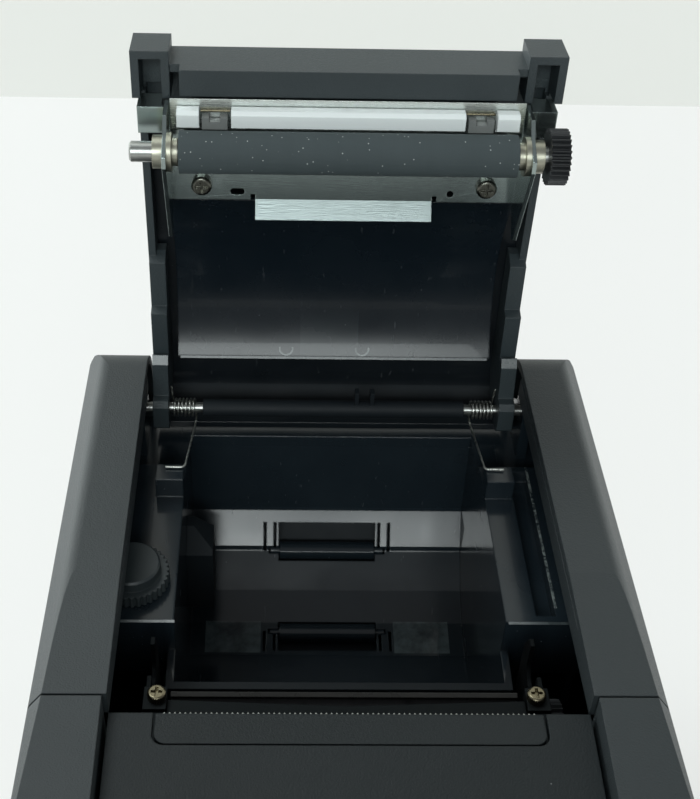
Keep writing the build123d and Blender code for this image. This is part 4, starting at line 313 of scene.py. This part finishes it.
def sheet_steel(name, tint, rough, marks=0.12):
    """Plated sheet: fine rolling lines, dull spangle and a few stains."""
    m = Maker(name)
    lines = m.noise(0.003, detail=4.0, rough=0.6, stretch=(1.0, 14.0, 14.0))
    spangle = m.noise(0.006, detail=3.0, rough=0.55)
    stain = m.noise(0.011, detail=4.0, rough=0.6).rise(0.6, 0.8)
    colour = m.mix(spangle * 0.7 + lines * 0.3, [part * 0.78 for part in tint], tint)
    return m.set(
        Base_Color=m.mix(stain * 0.35, colour, [part * 0.55 for part in tint]),
        Metallic=0.96 - stain * 0.1,
        Roughness=rough + (lines - NOISE_MIDDLE) * 0.12 + stain * 0.1,
        Normal=m.bump(lines, strength=marks, distance=0.0002, softening=0.00025),
    )


def bright_metal(name, tint, rough):
    """Turned or drawn metal with faint marks round it."""
    m = Maker(name)
    marks = m.noise(0.0012, detail=3.0, rough=0.6, stretch=(6.0, 1.0, 1.0))
    wear = m.noise(0.004, detail=3.0).rise(0.5, 0.8)
    return m.set(
        Base_Color=m.mix(marks * 0.5 + wear * 0.4, tint, [part * 0.6 for part in tint]),
        Metallic=1.0 - wear * 0.1,
        Roughness=rough + marks * 0.16 + wear * 0.12,
        Normal=m.bump(marks, strength=0.1, distance=0.0001, softening=0.0002),
    )


def ground_rubber(name, dark, light):
    """Ground rubber with a fine nap and paper dust."""
    m = Maker(name)
    nap = m.noise(0.0004, detail=3.0, rough=0.65)
    bands = m.noise(0.009, detail=3.0, rough=0.6, stretch=(1.0, 0.25, 0.25))
    dust = m.specks(spacing=0.0012, share=0.42, size=0.15)
    colour = m.mix(nap * 0.4 + bands * 0.6, dark, light)
    return m.set(
        Base_Color=m.mix(dust * 0.9, colour, PAPER_DUST_COLOUR),
        Roughness=0.75 + (nap - NOISE_MIDDLE) * 0.2,
        Normal=m.bump(nap, strength=0.3, distance=0.0002, softening=0.0003),
    )


def circuit_board(name, lacquer, over_tracks):
    """Lacquer, paler over the tracks."""
    m = Maker(name)
    tracks = m.noise(0.004, detail=0.0, stretch=(1.0, 3.0, 1.0)).rise(0.48, 0.52)
    return m.set(
        Base_Color=m.mix(tracks, lacquer, over_tracks),
        Roughness=0.3 + tracks * 0.1,
        Normal=m.bump(tracks, strength=0.2, distance=0.0001),
    )


# Finishes of the pieces

shell = textured_plastic("charcoal_shell", (0.014, 0.019, 0.021), (0.025, 0.032, 0.035))
panel = textured_plastic(
    "charcoal_panel", (0.007, 0.010, 0.011), (0.012, 0.016, 0.018), rough=0.46, shine=0.3
)
lid_plastic = textured_plastic("lid_plastic", (0.021, 0.030, 0.034), (0.035, 0.047, 0.052), rough=0.45)
inner = glossy_plastic(
    "glossy_inner", (0.009, 0.014, 0.019), (0.016, 0.024, 0.030), lean=rear_flat_lean, marks=bucket_reflections_and_scratches
)
lid_inside = glossy_plastic("glossy_lid_inside", (0.004, 0.006, 0.008), (0.009, 0.012, 0.015), rough=0.3)
guide = glossy_plastic(
    "glossy_guide", (0.004, 0.008, 0.012), (0.009, 0.014, 0.019), rough=0.27, shine=0.34, marks=guide_marks_and_reflection
)
knob = plain_plastic("dial_plastic", (0.024, 0.032, 0.035), (0.040, 0.050, 0.054), rough=0.38)
# dark, rough plastic: painted shade on the lid's foot, in the roller rooms and on the bucket's front rim;
# the sensor, the sockets and the hinge sleeve take it as their own dark finish
shadowed = plain_plastic(
    "shadowed_plastic", (0.006, 0.009, 0.012), (0.011, 0.015, 0.018), rough=0.62, shine=0.25
)
clip_plastic = plain_plastic("clip_plastic", (0.16, 0.17, 0.17), (0.26, 0.27, 0.26), rough=0.4)
white = plain_plastic("white_guide", (0.88, 0.93, 0.92), (0.93, 0.96, 0.95), rough=0.35)
gear_plastic = plain_plastic("gear_plastic", (0.012, 0.013, 0.015), (0.024, 0.026, 0.028), rough=0.42)
ceramic = plain_plastic("head_ceramic", (0.020, 0.019, 0.017), (0.032, 0.030, 0.027), rough=0.3)
lens = plain_plastic("lens_plastic", (0.50, 0.52, 0.50), (0.60, 0.62, 0.60), rough=0.1)
# paler than the shell: painted highlight on the ledges and edge strips
edge = painted_edge_highlight("painted_edge_highlight", (0.020, 0.027, 0.030), (0.075, 0.090, 0.094))
steel = sheet_steel("zinc_sheet", (0.42, 0.49, 0.48), rough=0.16, marks=0.05)
tab_steel = sheet_steel("satin_tab", (0.40, 0.46, 0.455), rough=0.38, marks=0.3)
black_steel = sheet_steel("blackened_sheet", (0.012, 0.014, 0.015), rough=0.5)
blade_steel = sheet_steel("ground_blade", (0.72, 0.76, 0.73), rough=0.28)
bushing = bright_metal("bushing_metal", (0.50, 0.49, 0.40), rough=0.3)
shaft_steel = bright_metal("turned_steel", (0.46, 0.47, 0.45), rough=0.24)
screw_steel = bright_metal("screw_steel", (0.14, 0.14, 0.12), rough=0.18)
gold = bright_metal("yellow_steel", (0.24, 0.21, 0.14), rough=0.2)
spring_steel = bright_metal("spring_steel", (0.66, 0.67, 0.63), rough=0.2)
head_sink = bright_metal("blackened_head_sink", (0.05, 0.05, 0.052), rough=0.45)
motor_can = bright_metal("motor_can", (0.30, 0.30, 0.31), rough=0.4)
rubber = ground_rubber("platen_rubber_skin", (0.032, 0.045, 0.048), (0.060, 0.077, 0.082))
foot_rubber = ground_rubber("foot_rubber_skin", (0.014, 0.014, 0.015), (0.024, 0.024, 0.026))
board = circuit_board("board_lacquer", (0.012, 0.07, 0.03), (0.02, 0.12, 0.05))

FINISH = {
    shell: ("main_housing", "front_wing_right", "front_wing_left", "bottom_case", "front_fascia"),
    panel: ("cutter_cover", "tear_bar_holder"),
    lid_plastic: ("lid_cover",),
    inner: ("paper_bucket", "bucket_roller_rear", "bucket_roller_front"),
    guide: ("lid_inner_guide",),
    knob: ("near_end_dial", "cutter_gearbox", "feed_button", "power_rocker", "switch_frame"),
    shadowed: ("near_end_sensor", "power_socket", "drawer_socket", "shaft_sleeve"),
    clip_plastic: ("blade_clips",),
    white: ("blade_guides",),
    gear_plastic: ("platen_gear", "idler_gear", "reducer_gear", "cutter_crank"),
    ceramic: ("print_head_ceramic",),
    lens: ("status_lenses",),
    steel: ("platen_bracket", "rear_plate", "usb_socket"),
    black_steel: ("mechanism_frame", "cutter_base", "cutter_lid", "moving_blade"),
    blade_steel: ("fixed_blade",),
    bushing: ("platen_bushings",),
    shaft_steel: ("hinge_shaft", "platen_shaft", "head_pivot", "tear_bar"),
    screw_steel: ("bracket_screws", "case_screws"),
    gold: ("cutter_screws", "blade_spring_wires", "motor_pinion"),
    spring_steel: ("hinge_spring_right", "hinge_spring_left", "head_springs"),
    head_sink: ("print_head_heatsink",),
    motor_can: ("feed_motor", "cutter_motor"),
    rubber: ("platen_rubber",),
    foot_rubber: ("rubber_feet",),
    board: ("main_board", "panel_board"),
}
for finish, names in FINISH.items():
    for name in names:
        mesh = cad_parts[name].data
        mesh.materials.clear()
        mesh.materials.append(finish)


# Faces with a finish of their own: the lid's glossy inside, and painted shade on the lid's foot, in the
# roller rooms and on the bucket's front rim

FACING = 0.5
FOOT_FACING = 0.35
LIP_LOW_Z = LID_HIGH.z - 0.01915
LID_SIDE_X = LID_HIGH.x - 0.0069
FOOT_TOP_Z = LID_LOW.z + 0.01288
RIM_REAR_Y = BUCKET_LOW.y + 0.0049
RIM_LOW_Z = BUCKET_HIGH.z - 0.0373
ROOM_HALF = ROLLER_HALF + 0.0083
ROOM_GAP = 0.0012
TROUGH_PLACE = (0.0431, 0.099)
TROUGH_RADIUS = 0.042


def finish_faces(node, finish, chosen):
    """Gives the faces of a node that are chosen by their middle and direction another finish."""
    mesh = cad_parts[node].data
    mesh.materials.append(finish)
    for face in mesh.polygons:
        if chosen(face.center, face.normal):
            face.material_index = len(mesh.materials) - 1


def inside_lid(middle, way):
    return middle.z < LIP_LOW_Z and way.y < FACING and abs(middle.x) < LID_SIDE_X


def lid_foot(middle, way):
    return middle.z < FOOT_TOP_Z and way.z > FOOT_FACING and abs(middle.x) < LID_SIDE_X


def in_roller_room(middle, way):
    out = Vector((middle.y - TROUGH_PLACE[0], middle.z - TROUGH_PLACE[1]))
    return abs(middle.x) < ROOM_HALF and out.y < 0 and out.length > TROUGH_RADIUS + ROOM_GAP


def front_rim(middle, way):
    return middle.y < RIM_REAR_Y and middle.z > RIM_LOW_Z and way.z > FACING


finish_faces("lid_cover", lid_inside, inside_lid)
finish_faces("lid_cover", shadowed, lid_foot)
finish_faces("paper_bucket", shadowed, in_roller_room)
finish_faces("paper_bucket", shadowed, front_rim)


# Paper tab

WELD = 1e-7
TAB_HALF = 0.024
TAB_BEND_Y = 0.0826
TAB_TOP_Z = 0.19595
TAB_ZONE = 0.002
TAB_SKIN = 0.0002
TAB_SHARE = 0.64
TAB_BEND = radians(54)


def add_piece(name, mesh, body, *nodes):
    """Puts a mesh into the scene on a body, in place of any nodes that it stands for."""
    made = bpy.data.objects.new(name, mesh)
    bpy.context.scene.collection.objects.link(made)
    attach(made, body)
    if nodes:
        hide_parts(*nodes)


def bent_bracket():
    """The platen bracket with its paper tab bent half way down."""
    sheet = bmesh.new()
    sheet.from_mesh(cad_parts["platen_bracket"].data)
    bmesh.ops.remove_doubles(sheet, verts=sheet.verts, dist=WELD)
    for corner in sheet.verts:
        place = corner.co
        on_top = abs(place.z - TAB_TOP_Z) < TAB_ZONE
        if on_top and abs(place.x) < TAB_HALF and place.y < TAB_BEND_Y - TAB_ZONE:
            reach, under = (TAB_BEND_Y - place.y) * TAB_SHARE, TAB_TOP_Z - place.z
            place.y = TAB_BEND_Y - reach * cos(TAB_BEND) + under * sin(TAB_BEND)
            place.z = TAB_TOP_Z - reach * sin(TAB_BEND) - under * cos(TAB_BEND)
    mesh = bpy.data.meshes.new("bent_bracket")
    sheet.to_mesh(mesh)
    sheet.free()
    mesh.materials.append(steel)
    mesh.materials.append(tab_steel)
    for face in mesh.polygons:
        middle = face.center
        if abs(middle.x) < TAB_HALF and middle.y < TAB_BEND_Y and middle.z < TAB_TOP_Z + TAB_SKIN:
            face.material_index = 1
    return mesh


add_piece("bent_bracket", bent_bracket(), "lid", "platen_bracket")


# Ledges on the lid's arms and edge strips of the guide and the bucket, paler as painted highlights

LEDGE_SIDE = ((0, 0), (0.0017, 0.0024), (0.0021, 0.0024), (0.0022, 0.0003))
LEDGE_IN, LEDGE_OUT = LID_HIGH.x - 0.0053, LID_HIGH.x - 0.0009
LEDGE_SPANS = [(x, x + LEDGE_OUT - LEDGE_IN, 0.0811, 0.1418) for x in (LEDGE_IN, -LEDGE_OUT)]
GUIDE_EDGE_SIDE = ((0, 0), (-0.0004, -0.00055), (0.0003, -0.00055))
GUIDE_EDGE_HALF = GUIDE_HIGH.x - 0.0007
GUIDE_EDGE_SPANS = [(-GUIDE_EDGE_HALF, GUIDE_EDGE_HALF, GUIDE_LOW.y + 0.0025, GUIDE_LOW.z + 0.00044)]
BLOCK_EDGE_SIDE = ((0, 0), (-0.00045, -0.0005), (0.0002, -0.0005))
BLOCK_EDGE_SPANS = [(low, high, 0.0105, 0.1170) for low, high in ((-0.0565, -0.0418), (0.0427, 0.0600))]


def prisms(name, finish, side, spans):
    """One mesh of straight strips along X: a side view, as (Y, Z), over each span of X and at its offset."""
    strips = bmesh.new()
    for x0, x1, y, z in spans:
        near = [strips.verts.new((x0, y + dy, z + dz)) for dy, dz in side]
        far = [strips.verts.new((x1, y + dy, z + dz)) for dy, dz in side]
        strips.faces.new(near)
        strips.faces.new(far[::-1])
        for step, corner in enumerate(near):
            after = (step + 1) % len(near)
            strips.faces.new((corner, far[step], far[after], near[after]))
    bmesh.ops.recalc_face_normals(strips, faces=strips.faces)
    mesh = bpy.data.meshes.new(name)
    strips.to_mesh(mesh)
    strips.free()
    mesh.materials.append(finish)
    return mesh


add_piece("arm_ledges", prisms("arm_ledges", edge, LEDGE_SIDE, LEDGE_SPANS), "lid")
add_piece("guide_edge", prisms("guide_edge", edge, GUIDE_EDGE_SIDE, GUIDE_EDGE_SPANS), "lid")
add_piece("block_edges", prisms("block_edges", edge, BLOCK_EDGE_SIDE, BLOCK_EDGE_SPANS), "base")


# Floor and wall

STAGE_HALF = 3
WALL_Y = 0.515
WALL_TOP = 2
GLOW_SHARE = 0.7
DIM_SPAN = (0.02, 0.30)


def backdrop_paint(name, colour, glow, dim, one_sided=False):
    """Matt paint that shows pale to the camera and in gloss, with painted shade that makes it dimmer on the
    right, and keeps shadows.
    """
    m = Maker(name)
    m.set(Base_Color=colour, Roughness=0.9)
    across, along, _ = m.axes()
    # painted shade: the pale glow dims towards the right and the front
    pale = m.mix((across - along).rise(*DIM_SPAN), glow, dim)
    rays = m.node("ShaderNodeLightPath", {}, {})
    seen = rays["Is Camera Ray"] + rays["Is Glossy Ray"] + rays["Is Transmission Ray"]
    lit = m.node("ShaderNodeEmission", {}, {"Color": pale, "Strength": 1.0})[0]
    painted = Value(m, m.shader.outputs[0])
    shown = m.node("ShaderNodeMixShader", {}, {0: seen.over(0.5) * GLOW_SHARE, 1: painted, 2: lit})[0]
    if one_sided:
        see_through = m.node("ShaderNodeBsdfTransparent", {}, {})[0]
        behind = m.node("ShaderNodeNewGeometry", {}, {})["Backfacing"]
        shown = m.node("ShaderNodeMixShader", {}, {0: behind, 1: shown, 2: see_through})[0]
    m.tree.links.new(shown.socket, m.tree.nodes["Material Output"].inputs["Surface"])
    return m.material


def plane(name, corners, material):
    mesh = bpy.data.meshes.new(name)
    mesh.from_pydata(corners, [], [(0, 1, 2, 3)])
    mesh.materials.append(material)
    made = bpy.data.objects.new(name, mesh)
    bpy.context.scene.collection.objects.link(made)
    return made


plane(
    "floor",
    [(-STAGE_HALF, -STAGE_HALF, 0), (STAGE_HALF, -STAGE_HALF, 0),
     (STAGE_HALF, STAGE_HALF, 0), (-STAGE_HALF, STAGE_HALF, 0)],
    backdrop_paint("floor_paint", (0.70, 0.71, 0.70), (0.98, 1.0, 0.98), (0.76, 0.77, 0.73)),
)
wall = plane(
    "wall",
    [(-STAGE_HALF, WALL_Y, 0), (STAGE_HALF, WALL_Y, 0),
     (STAGE_HALF, WALL_Y, WALL_TOP), (-STAGE_HALF, WALL_Y, WALL_TOP)],
    backdrop_paint("wall_paint", (0.78, 0.78, 0.76), (0.90, 0.94, 0.89), (0.86, 0.88, 0.82), True),
)
wall.visible_shadow = False


# Lamps: name, place, width and height, and brightness as so many whites

LAMP_COLOUR = (0.92, 1.0, 1.0)
LAMP_AIM = (0, 0, 0.1)
LAMPS = (
    ("front_lamp", (-0.20, -1.40, 1.03), (1.1, 0.44), 9.0),
    ("top_lamp", (-0.60, 0.54, 1.60), (1.1, 0.60), 5.0),
    ("left_lamp", (-1.50, 1.10, 0.30), (1.1, 0.55), 15.0),
    ("right_lamp", (1.60, 0.90, 0.25), (0.8, 0.40), 9.0),
)
ROOM_COLOUR = (0.86, 0.90, 0.92, 1)
ROOM_STRENGTH = 0.28


def lamp(name, place, size, radiance):
    """Soft panel turned to the object."""
    data = bpy.data.lights.new(name, "AREA")
    data.shape, data.size, data.size_y = "RECTANGLE", *size
    data.energy, data.color = radiance * pi * size[0] * size[1], LAMP_COLOUR
    made = bpy.data.objects.new(name, data)
    made.location = place
    made.rotation_euler = (Vector(LAMP_AIM) - Vector(place)).to_track_quat("-Z", "Y").to_euler()
    bpy.context.scene.collection.objects.link(made)


for name, place, size, radiance in LAMPS:
    lamp(name, place, size, radiance)

world = bpy.data.worlds.new("room")
world.use_nodes = True
bpy.context.scene.world = world
background = world.node_tree.nodes["Background"]
background.inputs["Color"].default_value = ROOM_COLOUR
background.inputs["Strength"].default_value = ROOM_STRENGTH


# Camera at the photograph's place and angle

PHOTO_HEIGHT = 799
PHOTO_FOCUS = 1250
PHOTO_MIDDLE_X = 350
PHOTO_AXIS_X = 296.87
SENSOR_WIDTH = 36
CAMERA_PLACE = (-0.0181458, -0.1918967, 0.3649999)
CAMERA_YAW = 0.0278594
CAMERA_PITCH = 0.7110023
CAMERA_ROLL = -0.0275267
CAMERA_NEAR = 0.01
CAMERA_FAR = 20


def photo_camera():
    """Camera with the photograph's turn, tilt and lean, its axis left of the picture's middle."""
    forward = Vector((
        sin(CAMERA_YAW) * cos(CAMERA_PITCH), cos(CAMERA_YAW) * cos(CAMERA_PITCH), -sin(CAMERA_PITCH)
    ))
    level = Vector((cos(CAMERA_YAW), -sin(CAMERA_YAW), 0))
    down = forward.cross(level)
    right = level * cos(CAMERA_ROLL) + down * sin(CAMERA_ROLL)
    below = down * cos(CAMERA_ROLL) - level * sin(CAMERA_ROLL)
    data = bpy.data.cameras.new("camera")
    data.lens = PHOTO_FOCUS / PHOTO_HEIGHT * SENSOR_WIDTH
    data.shift_x = (PHOTO_MIDDLE_X - PHOTO_AXIS_X) / PHOTO_HEIGHT
    data.sensor_width = SENSOR_WIDTH
    data.clip_start, data.clip_end = CAMERA_NEAR, CAMERA_FAR
    made = bpy.data.objects.new("camera", data)
    turned = Matrix((right, -below, -forward)).transposed()
    made.matrix_world = Matrix.Translation(CAMERA_PLACE) @ turned.to_4x4()
    bpy.context.scene.collection.objects.link(made)
    bpy.context.scene.camera = made


photo_camera()
bpy.context.scene.view_settings.view_transform = "Standard"
